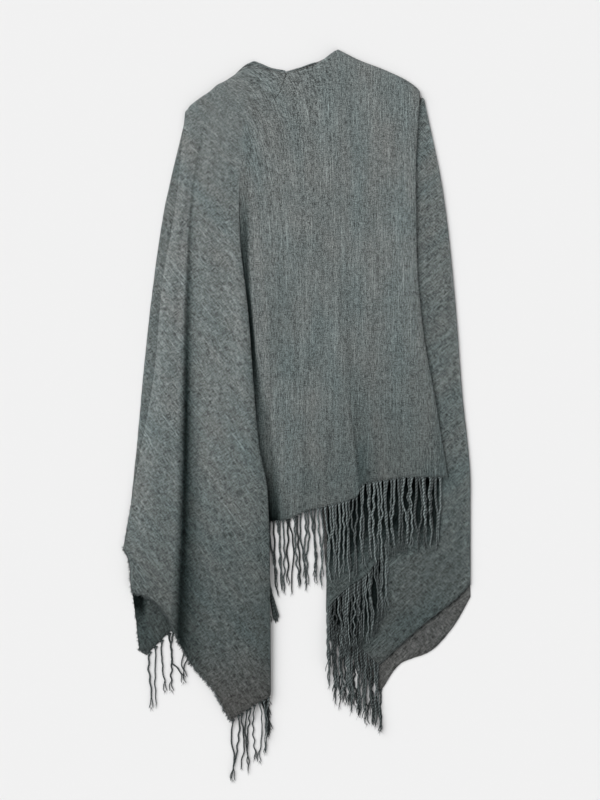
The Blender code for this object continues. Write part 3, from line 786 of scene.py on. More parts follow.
# %% Lay out the four cloths
# The panels, how many rows, a seed, the creases, the height of the ripple in millimetres, and how
# far its crests lean.
LAYINGS = (
    (("left_drape", "back_panel"), 138, 190, BACK_CREASES + DRAPE_CREASES, 0.22, 0.05),
    (("right_return", "right_drape"), 150, 150, RIGHT_CREASES, 0.18, 0.3),
    (("left_front",), 120, 120, FRONT_CREASES[:2], 0.05, 0.0),
    (("right_front",), 120, 120, FRONT_CREASES[2:], 0.05, 0.0),
)
back_layout, right_layout, left_front_layout, right_front_layout = (
    lay_out(*laying) for laying in LAYINGS
)
print("grid of the back:", back_layout.points.shape[:2])

# %% [markdown]
# Where a hem or a fringe lies over another layer, little light gets in beneath it. Each cloth that
# lies under such an edge gets painted shade: its colour is darkened close to the edge, and less and
# less further down.

# %% Paint shade onto the layers beneath an edge
def edge_of(layout, first, last):
    """The bottom edge of a cloth between two of its fold lines, from left to right."""
    ends = sorted(layout.names.index(name) for name in (first, last))
    edge = layout.points[-1, (layout.places >= ends[0]) & (layout.places <= ends[1]), :3]
    return edge if edge[0, 0] < edge[-1, 0] else edge[::-1]


def panel_columns(layout, panel):
    """The columns of a layout that belong to one panel."""
    own = [place for place, name in enumerate(layout.names) if name.startswith(panel + ": ")]
    return (layout.places >= own[0]) & (layout.places <= own[-1])


def dim_under(layout, panel, edge, full, reach, darkest):
    """Painted shade on a layer: full so far below the edge, then less and less until it ends."""
    x, y = layout.points[:, :, 0], layout.points[:, :, 1]
    below = np.interp(x, edge[:, 0], edge[:, 1]) - y
    near = np.interp(below, (-CM, 0.0, full, reach), (0.0, 1.0, 1.0, 0.0))
    inside = np.clip((x - edge[0, 0]) / CM, 0.0, 1.0) * np.clip((edge[-1, 0] - x) / CM, 0.0, 1.0)
    dimmed = 1 - (1 - darkest) * near * inside * panel_columns(layout, panel)
    layout.points[:, :, 3] *= dimmed


back_hem = edge_of(back_layout, "back_panel: beside drape", "back_panel: lip crest")
return_hem = edge_of(right_layout, "right_return: hem rise", "right_return: return edge")
lobe_hem = edge_of(back_layout, "left_drape: outer edge", "left_drape: valley")
mouth_hem = edge_of(back_layout, "left_drape: outer edge", "left_drape: outer lobe")
band_hem = edge_of(right_layout, "right_drape: corner", "right_drape: outer edge")
# The cloth and the panel beneath, the edge above, how many centimetres below that edge the painted
# shade is full and where it ends, and what share of its colour the darkest part keeps.
SHADES = (
    (right_layout, "right_return", back_hem, 1.0, 5.0, 0.05),
    (right_layout, "right_return", back_hem, 8.0, 12.0, 0.15),
    (right_layout, "right_drape", back_hem, 1.0, 5.0, 0.05),
    (right_layout, "right_drape", back_hem, 8.0, 12.0, 0.15),
    (right_layout, "right_drape", return_hem, 1.0, 5.0, 0.05),
    (right_layout, "right_drape", return_hem, 8.0, 12.0, 0.16),
    (left_front_layout, "left_front", lobe_hem, 0.1, 0.7, 0.5),
    (left_front_layout, "left_front", mouth_hem, 2.2, 5.4, 0.12),
    (right_front_layout, "right_front", band_hem, 0.1, 0.5, 0.45),
)
for layout, panel, edge, full, reach, darkest in SHADES:
    dim_under(layout, panel, edge, full * CM, reach * CM, darkest)
print("darkest tone beneath the back's hem:", round(float(right_layout.points[:, :, 3].min()), 3))

# %% Make the four cloths
back_cloth = make_cloth("back_and_left_drape", back_layout.points, left_weave)
right_cloth = make_cloth("right_side_folded", right_layout.points, right_weave)
left_front_cloth = make_cloth("left_front_cloth", left_front_layout.points, left_weave)
right_front_cloth = make_cloth("right_front_cloth", right_front_layout.points, band_weave)

# %% [markdown]
# ## What already lies there
#
# Strands of the fringe rest on whatever is beneath them. The heap is a map of small square
# cells over the floor, and each cell keeps the height of the topmost thing laid in it.

# %% The heap
CELL = 3.0 * MM
HEAP_CORNER = (-0.36, -0.70)
HEAP_CELLS = (240, 468)
REACH_CELLS = 2


class Heap:
    """The height of what is laid out so far."""

    def __init__(self):
        self.low = np.array(HEAP_CORNER)
        self.top = np.zeros(HEAP_CELLS)

    def cells(self, points):
        spots = np.floor((points[..., :2] - self.low) / CELL).astype(int)
        return np.clip(spots, REACH_CELLS, np.array(self.top.shape) - REACH_CELLS - 1)

    def lay(self, points, half):
        spots = self.cells(points).reshape(-1, 2)
        np.maximum.at(self.top, (spots[:, 0], spots[:, 1]), points[..., 2].ravel() + half)

    def height(self, points):
        """The highest top within reach of each point."""
        spots = self.cells(points)
        highest = np.zeros(len(points))
        for i in range(-REACH_CELLS, REACH_CELLS + 1):
            for j in range(-REACH_CELLS, REACH_CELLS + 1):
                highest = np.maximum(highest, self.top[spots[:, 0] + i, spots[:, 1] + j])
        return highest


print("the heap's cells are", CELL * 1000, "mm wide")

# %% [markdown]
# ## The fringe
#
# The fringe is the cloth's own warp, left unwoven and twisted by hand in twos. No two strands
# hang alike: they wave, lean on their neighbours and end in loose hair. Each one is made as a
# narrow grid that is rolled into a tube round its path, which keeps its map tidy: across the
# grid is round the yarn, and down the grid is along it.

# %% The groups of strands
# The panel whose hem they end, from which fold line to which, how many, their lengths and how far
# they drift to the right in centimetres, how many neighbours may cling together, their darkest
# and lightest tone and painted shade, drawn at random for each strand, and how thick they are
# beside a common yarn. Lengths, drifts and thickness are given at even steps along the hem, from
# left to right.
Fringe = namedtuple("Fringe", "name cloth first last strands lengths drifts most tones thick")
FRINGES = (
    Fringe(
        "fringe_left_front", "left_front", "corner", "slit edge",
        20, (10.8, 8.4), (0.3, 2.2), 3, (0.55, 0.95), (0.85,),
    ),
    Fringe(
        "fringe_right_front", "right_front", "slit edge", "neck point",
        16, (12.5, 8.2), (0.0, 0.3), 2, (0.40, 0.80), (0.9,),
    ),
    Fringe(
        "fringe_right_drape", "right_drape", "inner fold", "corner",
        28, (12.8, 12.0), (0.2, 0.2), 3, (0.28, 0.88), (1.0,),
    ),
    Fringe(
        "fringe_right_return", "right_return", "hem rise", "return edge",
        30, (12.0, 12.5), (0.0, 0.3), 3, (0.22, 1.20), (1.0, 1.15),
    ),
    Fringe(
        "fringe_back", "back_panel", "turned under", "lip crest",
        68, (13.4, 13.2, 14.8, 12.8), (1.4, 0.6, 0.4, 0.2, 0.0), 2, (0.34, 1.36), (0.9, 1.0, 1.2, 1.45),
    ),
    Fringe(
        "fringe_left_hidden", "left_drape", "edge tucked in", "hidden layer",
        14, (16.5, 11.4), (6.3, 0.9), 4, (0.30, 0.60), (1.2,),
    ),
    Fringe(
        "fringe_left_drape", "left_drape", "lobe middle", "inner edge",
        9, (11.8, 10.4), (-0.4, 0.0), 2, (0.50, 0.85), (0.82,),
    ),
)
layouts = {
    "left_front": left_front_layout,
    "right_front": right_front_layout,
    "right_drape": right_layout,
    "right_return": right_layout,
    "left_drape": back_layout,
    "back_panel": back_layout,
}
print("strands in all:", sum(fringe.strands for fringe in FRINGES))

# %% Where the strands leave the hem
# The strands stand evenly, give or take this share of their spacing.
ROOT_JITTER = 0.16
ROOT_ENDS = (0.004, 0.996)


def hem_of(fringe):
    """The hem that a group of strands hangs from, and the run along it."""
    names = [f"{fringe.cloth}: {name}" for name in (fringe.first, fringe.last)]
    hem = edge_of(layouts[fringe.cloth], *names)
    return hem, np.concatenate([[0.0], np.cumsum(np.diff(hem[:, 0]))])


def roots_of(fringe, chance):
    hem, run = hem_of(fringe)
    even = (np.arange(fringe.strands) + 0.5) / fringe.strands
    even += chance.normal(0.0, ROOT_JITTER / fringe.strands, fringe.strands)
    at = np.clip(even, *ROOT_ENDS) * run[-1]
    return np.stack([np.interp(at, run, hem[:, axis]) for axis in range(3)], axis=1)


print("the back's hem is", round(float(hem_of(FRINGES[4])[1][-1]), 3), "m across")

# %% The path of each strand
RINGS = 54
YARN_RADIUS = 1.5 * MM
# The rings lie closer together near the hem.
down = np.linspace(0.0, 1.0, RINGS) ** 1.25
SHORTEST_SHARE = 0.86
LENGTH_TURN = 2.4
INSIDE_HEM = 0.6 * MM
# A strand's waves: how many, their least and greatest height in millimetres, and their turns.
LONG_WAVES = (1, (1.0, 3.0), (0.5, 1.3))
FINE_WAVES = (3, (0.2, 0.9), (2.0, 7.0))


def waves(chance, count, high, turns):
    """The sum of so many waves down a strand, each of which starts at nothing."""
    total = 0.0
    for _ in range(count):
        tall = chance.uniform(*high) * MM
        line = tall * np.sin(2 * math.pi * (chance.uniform(*turns) * down + chance.random()))
        total = total + (line - line[0])
    return total


def along_hem(values, share):
    """A value between those given at even steps along the hem."""
    return np.interp(share, np.linspace(0.0, 1.0, len(values)), values)


def hang(fringe, number, root, chance):
    """The way down of one strand, seen from above."""
    share = number / (fringe.strands - 1)
    length = along_hem(fringe.lengths, share) * CM
    length *= SHORTEST_SHARE + (1 - SHORTEST_SHARE) * (0.5 + 0.5 * math.sin(LENGTH_TURN * number))
    drift = along_hem(fringe.drifts, share) * CM
    aside = waves(chance, *LONG_WAVES) + waves(chance, *FINE_WAVES)
    path = np.tile(root, (RINGS, 1))
    path[:, 0] += drift * down + aside * np.clip(5 * down, 0.0, 1.0)
    path[:, 1] -= length * down - INSIDE_HEM
    return path


print("rings down a strand:", RINGS)

# %% Let neighbours cling together
# How far down neighbours meet, over which share of the way they come together, and how many times
# they turn about each other.
MEET = (0.45, 0.95)
CLOSING = 0.25
TURNS_TOGETHER = (0.8, 2.4)


def bundle_reach(count):
    """How far the strands of a bundle lie from its middle."""
    return YARN_RADIUS * (0.1 + 0.42 * count)


def cling(strands, chance):
    """Neighbours meet part of the way down and turn about each other from there."""
    meet = chance.uniform(*MEET)
    near = np.clip((down - meet + CLOSING) / CLOSING, 0.0, 1.0)
    near = near * near * (3 - 2 * near)
    middle = np.mean([strand[:, 0] for strand in strands], axis=0)
    turn = 2 * math.pi * (down * chance.uniform(*TURNS_TOGETHER) + chance.random())
    reach = bundle_reach(len(strands))
    for number, strand in enumerate(strands):
        angle = turn + 2 * math.pi * number / len(strands)
        strand[:, 0] += (middle + reach * np.cos(angle) - strand[:, 0]) * near
        strand[:, 2] += reach * 0.8 * np.sin(angle) * near


print("two strands that cling turn", round(bundle_reach(2) * 1000, 2), "mm from their middle")

# %% Let a strand fall onto what lies beneath
FALL_SLOPE = 0.22
FREE_RINGS = RINGS // 8


def settle(path, heap):
    """Lets a strand fall from its hem until it rests on what lies beneath."""
    lift = path[:, 2] - path[0, 2]
    falling = path[0, 2] - FALL_SLOPE * (path[0, 1] - path[:, 1])
    resting = heap.height(path) + YARN_RADIUS
    resting[:FREE_RINGS] = 0.0
    high = np.maximum(falling, resting)
    for _ in range(2):
        high[1:-1] = np.maximum(high[1:-1], (high[:-2] + high[2:]) / 2)
    path[:, 2] = np.maximum(high + np.abs(lift), YARN_RADIUS)


print("the first", FREE_RINGS, "rings of a strand rest on nothing yet")

# %% [markdown]
# The tube is closed along its seam by merging the doubled vertices, and at both ends because the
# last rings shrink to a point.

# %% Roll a grid into a yarn
SIDES = 6


def new_yarns():
    """An empty mesh, its map round and along the yarns, and the tone and painted shade of each point."""
    mesh = bmesh.new()
    return mesh, (mesh.loops.layers.uv.new("yarn"), mesh.verts.layers.float.new("tone"))


def pointed(radii):
    """The same radii, with a point at both ends."""
    radii = np.array(radii, float)
    radii[0] = radii[-1] = 0.0
    return radii


def add_yarn(mesh, layers, path, radii, widths=None, tone=1.0):
    """A tube round a path; its widths in the plan may be larger than its radii."""
    map_layer, tone_and_painted_shade_layer = layers
    widths = radii if widths is None else widths
    made = bmesh.ops.create_grid(mesh, x_segments=SIDES, y_segments=len(path) - 1, size=0.5)
    tangents = np.gradient(path, axis=0)
    tangents /= np.linalg.norm(tangents, axis=1)[:, None]
    side = np.cross(tangents, (0.0, 0.0, 1.0))
    side /= np.linalg.norm(side, axis=1)[:, None]
    lift = np.cross(side, tangents)
    run = np.concatenate([[0.0], np.cumsum(np.linalg.norm(np.diff(path, axis=0), axis=1))])
    spots = {}
    for vertex in made["verts"]:
        column = round((vertex.co.x + 0.5) * SIDES)
        row = round((0.5 - vertex.co.y) * (len(path) - 1))
        spots[vertex] = (column / SIDES, run[row])
        vertex[tone_and_painted_shade_layer] = tone
        turn = 2 * math.pi * (column % SIDES) / SIDES
        aside = widths[row] * math.cos(turn) * side[row]
        vertex.co = path[row] + aside + radii[row] * math.sin(turn) * lift[row]
    for face in {face for vertex in made["verts"] for face in vertex.link_faces}:
        for corner in face.loops:
            corner[map_layer].uv = spots[corner.vert]


print("sides of a yarn:", SIDES)

# %% Loose hair at the tips
HAIR_RADIUS = 0.28 * MM


def add_hair(mesh, layers, start, heading, length, tone=1.0, radius=HAIR_RADIUS):
    """One fibre: a long thin cone that points along its heading and ends above the floor."""
    heading = np.asarray(heading, float) / np.linalg.norm(heading)
    start = np.maximum(start, (-1.0, -1.0, radius))
    heading[2] = max(heading[2], (radius - start[2]) / length)
    turn = Vector(heading).to_track_quat("Z", "Y").to_matrix().to_4x4()
    middle = start + heading * length / 2
    place = Matrix.Translation(Vector(middle)) @ turn
    made = bmesh.ops.create_cone(
        mesh, cap_ends=True, segments=3, radius1=radius, radius2=radius / 4, depth=length,
        matrix=place,
    )
    for vertex in made["verts"]:
        vertex[layers[1]] = tone


print("hair", HAIR_RADIUS * 2000, "mm thick")

# %% [markdown]
# ## The yarn's finish
#
# Two plies wind round each other, so grooves run round the strand like the stripes of a
# barber's pole. The yarn's map gives the turn round it and the way along it, and one sine of the
# two together draws the groove: in colour, as painted shade that darkens the groove, and in bump.

# %% The twisted yarn
PLY_PITCH = 12.0 * MM
# How strongly the grooves between the plies are darkened, as painted shade.
GROOVE_PAINTED_SHADE = 1.6
FIBRE_SCALE = 420.0
FIBRE_CONTRAST = 1.5


def twisted_yarn(name, dark, light):
    """Two plies with painted shade in their grooves and the speckle of their fibres, darkened by the tone
    and painted shade.
    """
    material = bpy.data.materials.new(name)
    material.use_nodes = True
    tree = material.node_tree
    shader = tree.nodes["Principled BSDF"]
    place = add(tree, "ShaderNodeUVMap", uv_map="yarn").outputs[0]
    parts = add(tree, "ShaderNodeSeparateXYZ", {"Vector": place}).outputs
    round_it = add(tree, "ShaderNodeMath", {0: parts[0], 1: 4 * math.pi}, operation="MULTIPLY").outputs[0]
    phase = {0: parts[1], 1: 4 * math.pi / PLY_PITCH, 2: round_it}
    wound = add(tree, "ShaderNodeMath", phase, operation="MULTIPLY_ADD").outputs[0]
    groove = add(tree, "ShaderNodeMath", {0: wound}, operation="SINE").outputs[0]
    ply = add(tree, "ShaderNodeMapRange", {"Value": groove, "From Min": -1.0, "From Max": 1.0}).outputs[0]
    object_place = add(tree, "ShaderNodeTexCoord").outputs["Object"]
    speckle = {"Vector": object_place, "Scale": FIBRE_SCALE, "Detail": 3.0}
    fibres = add(tree, "ShaderNodeTexNoise", speckle).outputs["Fac"]
    # Painted shade: the colour darkens in the grooves between the plies.
    shade = weigh(tree, ((ply, GROOVE_PAINTED_SHADE), (fibres, FIBRE_CONTRAST)), 0.45)
    bounded = add(tree, "ShaderNodeClamp", {"Value": shade}).outputs[0]
    body = mixed(tree, bounded, dark, light, "RGBA")
    tone = add(tree, "ShaderNodeAttribute", attribute_name="tone").outputs["Fac"]
    colour = add(tree, "ShaderNodeVectorMath", {0: body, "Scale": tone}, operation="SCALE").outputs[0]
    height = weigh(tree, ((ply, 1.0), (fibres, 0.6)), 0.5)
    bump = add(tree, "ShaderNodeBump", {"Height": height, "Strength": 0.8, "Distance": 0.6 * MM})
    tree.links.new(colour, shader.inputs["Base Color"])
    tree.links.new(bump.outputs[0], shader.inputs["Normal"])
    shader.inputs["Roughness"].default_value = 0.95
    shader.inputs["Specular IOR Level"].default_value = 0.2
    return material


# The dark colour serves the painted shade in the grooves and the darker fibres, the light one the tops of
# the plies.
YARN_COLOURS = ((0.045, 0.055, 0.055, 1.0), (0.190, 0.222, 0.222, 1.0))
FIBRE_COLOURS = ((0.110, 0.127, 0.127, 1.0), (0.165, 0.192, 0.192, 1.0))
yarn = twisted_yarn("twisted_yarn", *YARN_COLOURS)
fibre = twisted_yarn("loose_fibre", *FIBRE_COLOURS)
print("the plies turn once in", PLY_PITCH * 1000, "mm")

# %% The root and the tip of a strand
ROOT_LENGTH = 4.0 * MM
PLY_RADIUS = 0.75 * MM
# How many rings from its end a strand splits, how many rings it reaches into its plies, and how
# far each ply goes aside, in millimetres.
SPLIT = 11
INTO_PLIES = 3
PLY_SPREAD = (1.0, 5.0)


def root_widths(path, radii, spread):
    """At its root a strand gathers all the warp up to its neighbours, so it leaves the hem as a fan."""
    fan = np.exp(-((np.abs(path[:, 1] - path[0, 1]) / ROOT_LENGTH) ** 1.5))
    return radii + np.maximum(spread - radii, 0.0) * fan * (radii > 0.0)


def split_tip(mesh, layers, path, tone, chance):
    """The two plies come apart near the end and each goes its own way."""
    share = np.linspace(0.0, 1.0, SPLIT + 1)
    radii = PLY_RADIUS * np.array([0.0] + [1.0] * (SPLIT - 2) + [0.8, 0.0])
    for aside in chance.uniform(*PLY_SPREAD, 2) * MM * (-1, 1):
        ply = path[-SPLIT - 1:].copy()
        ply[:, 0] += aside * share**1.4
        add_yarn(mesh, layers, ply, radii, tone=tone)


print("plies are", PLY_RADIUS * 2000, "mm thick")

# %% The paths of one group of strands
MIDDLE_RING = RINGS // 2


def strand_paths(fringe, heap, chance):
    """The settled path of each strand of a group, and whether it lies on the bare floor."""
    roots = roots_of(fringe, chance)
    paths = [hang(fringe, number, root, chance) for number, root in enumerate(roots)]
    number = 0
    while number < len(paths):
        count = int(chance.integers(1, fringe.most + 1))
        if count > 1:
            cling(paths[number:number + count], chance)
        number += count
    over_floor = [heap.height(path[MIDDLE_RING:MIDDLE_RING + 1])[0] == 0.0 for path in paths]
    for path in paths:
        settle(path, heap)
    return zip(paths, over_floor)


print("a strand is over the floor where its middle ring, number", MIDDLE_RING, "is")

# %% Make one group of strands
# A strand over the bare floor has its colour darkened to this share.
OVER_FLOOR_DARKENING = 0.60
SPLIT_SHARE = 0.55
THICKNESSES = (0.82, 1.14)
TAPER = 0.30
TIP_HAIRS = 5
TIP_HAIR_LENGTHS = (4.0, 10.0)


def piece_from(mesh, name, material):
    """Closes the seams of a bmesh, points its faces outward and makes it a finished piece."""
    bmesh.ops.remove_doubles(mesh, verts=mesh.verts[:], dist=0.01 * MM)
    bmesh.ops.recalc_face_normals(mesh, faces=mesh.faces[:])
    data = bpy.data.meshes.new(name)
    mesh.to_mesh(data)
    mesh.free()
    data.shade_smooth()
    data.materials.append(material)
    piece = bpy.data.objects.new(name, data)
    bpy.context.scene.collection.objects.link(piece)
    print(name, len(data.polygons), "faces")
    return piece


def make_fringe(fringe, heap, seed):
    """The piece with all strands of a group, which are laid on the heap as well."""
    chance = np.random.default_rng(seed)
    mesh, layers = new_yarns()
    spread = hem_of(fringe)[1][-1] / fringe.strands / 2
    for number, (path, over_floor) in enumerate(strand_paths(fringe, heap, chance)):
        splits = chance.random() < SPLIT_SHARE
        strand = path[:INTO_PLIES - SPLIT] if splits else path
        thick = along_hem(fringe.thick, number / fringe.strands)
        radius = YARN_RADIUS * thick * chance.uniform(*THICKNESSES)
        radii = pointed(radius * (1 - TAPER * down[:len(strand)] ** 3))
        # Each strand's tone and painted shade is drawn at random, and made darker over the bare floor.
        tone = chance.uniform(*fringe.tones) * (OVER_FLOOR_DARKENING if over_floor else 1.0)
        add_yarn(mesh, layers, strand, radii, root_widths(strand, radii, spread), tone)
        if splits:
            split_tip(mesh, layers, path, tone, chance)
        for _ in range(TIP_HAIRS):
            heading = (chance.normal(0.0, 0.4), -1.0, chance.normal(0.0, 0.05))
            add_hair(mesh, layers, path[-2], heading, chance.uniform(*TIP_HAIR_LENGTHS) * MM, tone)
        heap.lay(path, YARN_RADIUS)
    return piece_from(mesh, fringe.name + "_yarns", yarn)


print("strands and plies are ready")

# %% [markdown]
# The layers go down in the order in which they lie, and each group of strands before the panel
# it belongs to, so that strands rest on what was there and not on their own cloth.

# %% Lay everything in order
FRINGE_SEED = 40
heap = Heap()
groups = {}
for cloth in ("left_front", "right_front", "right_drape", "right_return", "back_panel", "left_drape"):
    for number, fringe in enumerate(FRINGES):
        if fringe.cloth == cloth:
            groups[fringe.name] = make_fringe(fringe, heap, FRINGE_SEED + number)
    heap.lay(layouts[cloth].points[:, panel_columns(layouts[cloth], cloth), :3], WALL / 2)
print("highest point of the heap:", round(float(heap.top.max()) * 1000, 1), "mm")

# %% [markdown]
# ## The fuzzy selvages
#
# The long edges of the cloth aren't hemmed. Their outermost threads have worn loose, so a few
# wavy threads run along each edge, and tufts of short hair stand out between them.

# %% Tufts of hair along an edge
TUFT_RADIUS = 0.55 * MM
TUFT_HAIRS = 2
SPOTS_PER_TUFT = 20
# How far a tuft leans away from the way it points, how far a hair leans from its tuft, and how
# much it rises or dips.
TUFT_LEAN = 0.45
HAIR_LEAN = 0.25
HAIR_RISE = 0.12


def along_edge(edge, count):
    """So many points, evenly spaced along an edge."""
    run = np.concatenate([[0.0], np.cumsum(np.linalg.norm(np.diff(edge, axis=0), axis=1))])
    at = np.linspace(0.0, run[-1], count)
    return np.stack([np.interp(at, run, edge[:, axis]) for axis in range(3)], axis=1)


def edge_tufts(mesh, layers, edge, tufts, outward, chance, longest):
    """Tufts of hair along an edge, pointing mostly outward in the plan."""
    spots = SPOTS_PER_TUFT * tufts
    starts = along_edge(edge, spots)[chance.integers(0, spots, tufts)]
    for start in starts:
        lean = chance.normal(0.0, TUFT_LEAN, 2)
        for _ in range(TUFT_HAIRS):
            plan = outward + lean + chance.normal(0.0, HAIR_LEAN, 2)
            heading = np.array([*plan, chance.normal(0.0, HAIR_RISE)])
            length = chance.uniform(0.3, 1.0) * longest
            add_hair(mesh, layers, start, heading, length, chance.uniform(0.4, 1.0), TUFT_RADIUS)


print("hairs in a tuft:", TUFT_HAIRS)

# %% A loose thread along an edge
LOOSE_RADIUS = 0.35 * MM
LOOSE_STEP = 3.0 * MM
LOOSE_TURNS = (0.15, 0.45)
LOOSE_TONE = 0.75


def loose_thread(mesh, layers, edge, aside, chance):
    """A thread of the selvage that has come loose and waves along it."""
    path = along_edge(edge, max(12, int(np.linalg.norm(np.ptp(edge, axis=0)) / LOOSE_STEP)))
    share = np.linspace(0.0, 1.0, len(path))
    for axis in (0, 1):
        for _ in range(3):
            turns = chance.uniform(*LOOSE_TURNS) * len(path)
            path[:, axis] += aside * 0.6 * np.sin(2 * math.pi * (turns * share + chance.random()))
    add_yarn(mesh, layers, path, pointed(np.full(len(path), LOOSE_RADIUS)), tone=LOOSE_TONE)


print("a loose thread is", LOOSE_RADIUS * 2000, "mm thick")

# %% Fray the edges
# An edge, its tufts and which way they point, its longest hair in millimetres, its loose threads
# and how far aside these wave, in millimetres.
Selvage = namedtuple("Selvage", "edge tufts outward longest threads aside")
DRAPE_SIDE_FROM = 67
FRONT_SIDE_FROM = 100
FRAY_SEED = 11
drape_edge = edge_of(back_layout, "left_drape: outer edge", "left_drape: lobe middle")
front_corner = edge_of(left_front_layout, "left_front: outer edge", "left_front: corner")
SELVAGES = (
    Selvage(drape_edge, 620, (-0.5, -0.8), 6.0, 4, 2.0),
    Selvage(back_layout.points[DRAPE_SIDE_FROM:, 0, :3], 60, (-1.0, -0.1), 3.0, 1, 0.6),
    Selvage(front_corner, 90, (-0.5, -0.8), 5.0, 2, 1.0),
    Selvage(left_front_layout.points[FRONT_SIDE_FROM:, 0, :3], 30, (-1.0, -0.2), 4.0, 1, 0.8),
    Selvage(band_hem, 150, (0.6, -0.7), 2.2, 2, 0.7),
)
fray_chance = np.random.default_rng(FRAY_SEED)
fuzz, layers = new_yarns()
for worn in SELVAGES:
    outward = np.array(worn.outward)
    edge_tufts(fuzz, layers, worn.edge, worn.tufts, outward, fray_chance, worn.longest * MM)
    for _ in range(worn.threads):
        loose_thread(fuzz, layers, worn.edge, worn.aside * MM, fray_chance)
selvage_hair = piece_from(fuzz, "selvage_hair", fibre)

# %% [markdown]
# ## The caught strands
#
# A bundle of strands that got caught beneath the left drape peeps out at its right edge. A flat
# tuft would do from afar. Six yarns with loose hair match the rest of the fringe from close by.

# %% The bundle that peeps out
# Its ends and its width in centimetres, as in the fold tables.
BUNDLE_TOP = (-4.9, 94.0)
BUNDLE_FOOT = (-3.6, 101.0)
BUNDLE_WIDTH = 0.9
BUNDLE_STRANDS = 6
# The bundle's colour is darkened to this share as painted shade, for the drape that lies over it.
BUNDLE_PAINTED_SHADE = 0.42
BUNDLE_HAIRS = 4


def drawn_route(route, count):
    """So many points of the plan, on a smooth curve through the places of a table."""
    places = smooth(np.linspace(0, 1, len(route)), route, np.linspace(0, 1, count))
    return np.array([laid_point(*place) for place in places])


mesh, layers = new_yarns()
for number in range(BUNDLE_STRANDS):
    aside = (number / (BUNDLE_STRANDS - 1) - 0.5) * BUNDLE_WIDTH
    second = number % 2
    foot = (BUNDLE_FOOT[0] + aside, BUNDLE_FOOT[1] - 1.6 * abs(aside) - 0.4 * second)
    plan = drawn_route((BUNDLE_TOP, foot), 12)
    path = np.column_stack([plan, np.full(len(plan), YARN_RADIUS * (1.1 + 0.8 * second))])
    add_yarn(mesh, layers, path, pointed(np.full(len(path), YARN_RADIUS)), tone=BUNDLE_PAINTED_SHADE)
    for _ in range(BUNDLE_HAIRS):
        heading = (fray_chance.normal(0.1, 0.3), -1.0, 0.0)
        add_hair(mesh, layers, path[-2], heading, fray_chance.uniform(3.0, 7.0) * MM, BUNDLE_PAINTED_SHADE)
caught_bundle = piece_from(mesh, "caught_bundle", yarn)

# %% [markdown]
# ## The neck
#
# A narrow roll of the same cloth finishes the neck, sewn down along the back's neck edge. That line
# of stitches is close-set and near-black, so that it also paints the thin shadow between the roll
# and the back: painted shadow. Below it, at the middle of the back, a short line of dark stitching
# closes a seam. The rolls are tubes made the same way as the yarns, and each stitch is a short slim
# bead of thread.

# %% The rolled neck edges
NECK_ROLLS = {
    "neck_edge_left": ((-8.6, 2.8), (-7.5, 2.3), (-6.1, 2.95), (-4.3, 3.62), (-3.0, 3.95), (-1.6, 4.15)),
    "neck_edge_right": ((-2.1, 4.15), (-0.8, 3.85), (0.7, 3.35), (2.1, 2.83), (3.3, 2.45)),
}
ROLL_RADIUS = 1.1 * MM
ROLL_HEIGHT = 2.2 * MM
# Painted light: the rolls' colour is brightened by this factor.
ROLL_PAINTED_LIGHT = 1.3
neck_rolls = {}
for name, route in NECK_ROLLS.items():
    plan = drawn_route(route, 48)
    path = np.column_stack([plan, np.full(len(plan), ROLL_HEIGHT)])
    uneven = 1 + 0.10 * np.sin(np.arange(len(path)) * 1.7)
    mesh, layers = new_yarns()
    add_yarn(mesh, layers, path, pointed(ROLL_RADIUS * uneven), tone=ROLL_PAINTED_LIGHT)
    neck_rolls[name] = piece_from(mesh, name + "_roll", fibre)

# %% A line of stitches
STITCH = 2.6 * MM
STITCH_GAP = 0.3 * MM
# How thick a stitch is at even steps along it, as a share of its radius.
BEAD = np.array([0, 0.8, 1, 1, 0.8, 0])


def sewn_line(mesh, layers, route, radius, layout):
    """Stitches along a route on top of a cloth, each a slim bead that dips into it at both ends."""
    plan = drawn_route(route, 200)
    run = np.concatenate([[0.0], np.cumsum(np.hypot(*np.diff(plan, axis=0).T))])
    cloth = layout.points.reshape(-1, layout.points.shape[2])
    arch = radius * (0.9 * np.sin(np.linspace(0, np.pi, len(BEAD))) - 0.2)
    count = int(run[-1] / (STITCH + STITCH_GAP))
    for number in range(count):
        ats = number * (STITCH + STITCH_GAP) + np.linspace(0, STITCH, len(BEAD))
        points = np.stack([np.interp(ats, run, plan[:, axis]) for axis in (0, 1)], axis=1)
        spot = np.argmin(np.hypot(cloth[:, 0] - points[2, 0], cloth[:, 1] - points[2, 1]))
        rise = cloth[spot, 2] + WALL / 2 + arch
        add_yarn(mesh, layers, np.column_stack([points, rise]), radius * BEAD)
    return count


print("a stitch is", round(STITCH * 1000, 1), "mm long")

# %% The stitches at the neck, near-black so as to paint its thin shadow too, and down the middle of the back
NECK_SEAM_AND_SHADOW_LINE = (
    (-8.7, 3.4), (-6.5, 3.5), (-4.2, 4.05), (-3.0, 4.35), (-1.9, 4.4),
    (-0.8, 4.2), (0.7, 3.75), (2.8, 3.0), (3.9, 2.6),
)
MIDDLE_SEAM = ((-1.9, 4.4), (-2.2, 5.4), (-2.7, 6.7), (-3.1, 7.8), (-4.0, 8.95))
NECK_STITCH_RADIUS = 0.45 * MM
SEAM_STITCH_RADIUS = 0.55 * MM
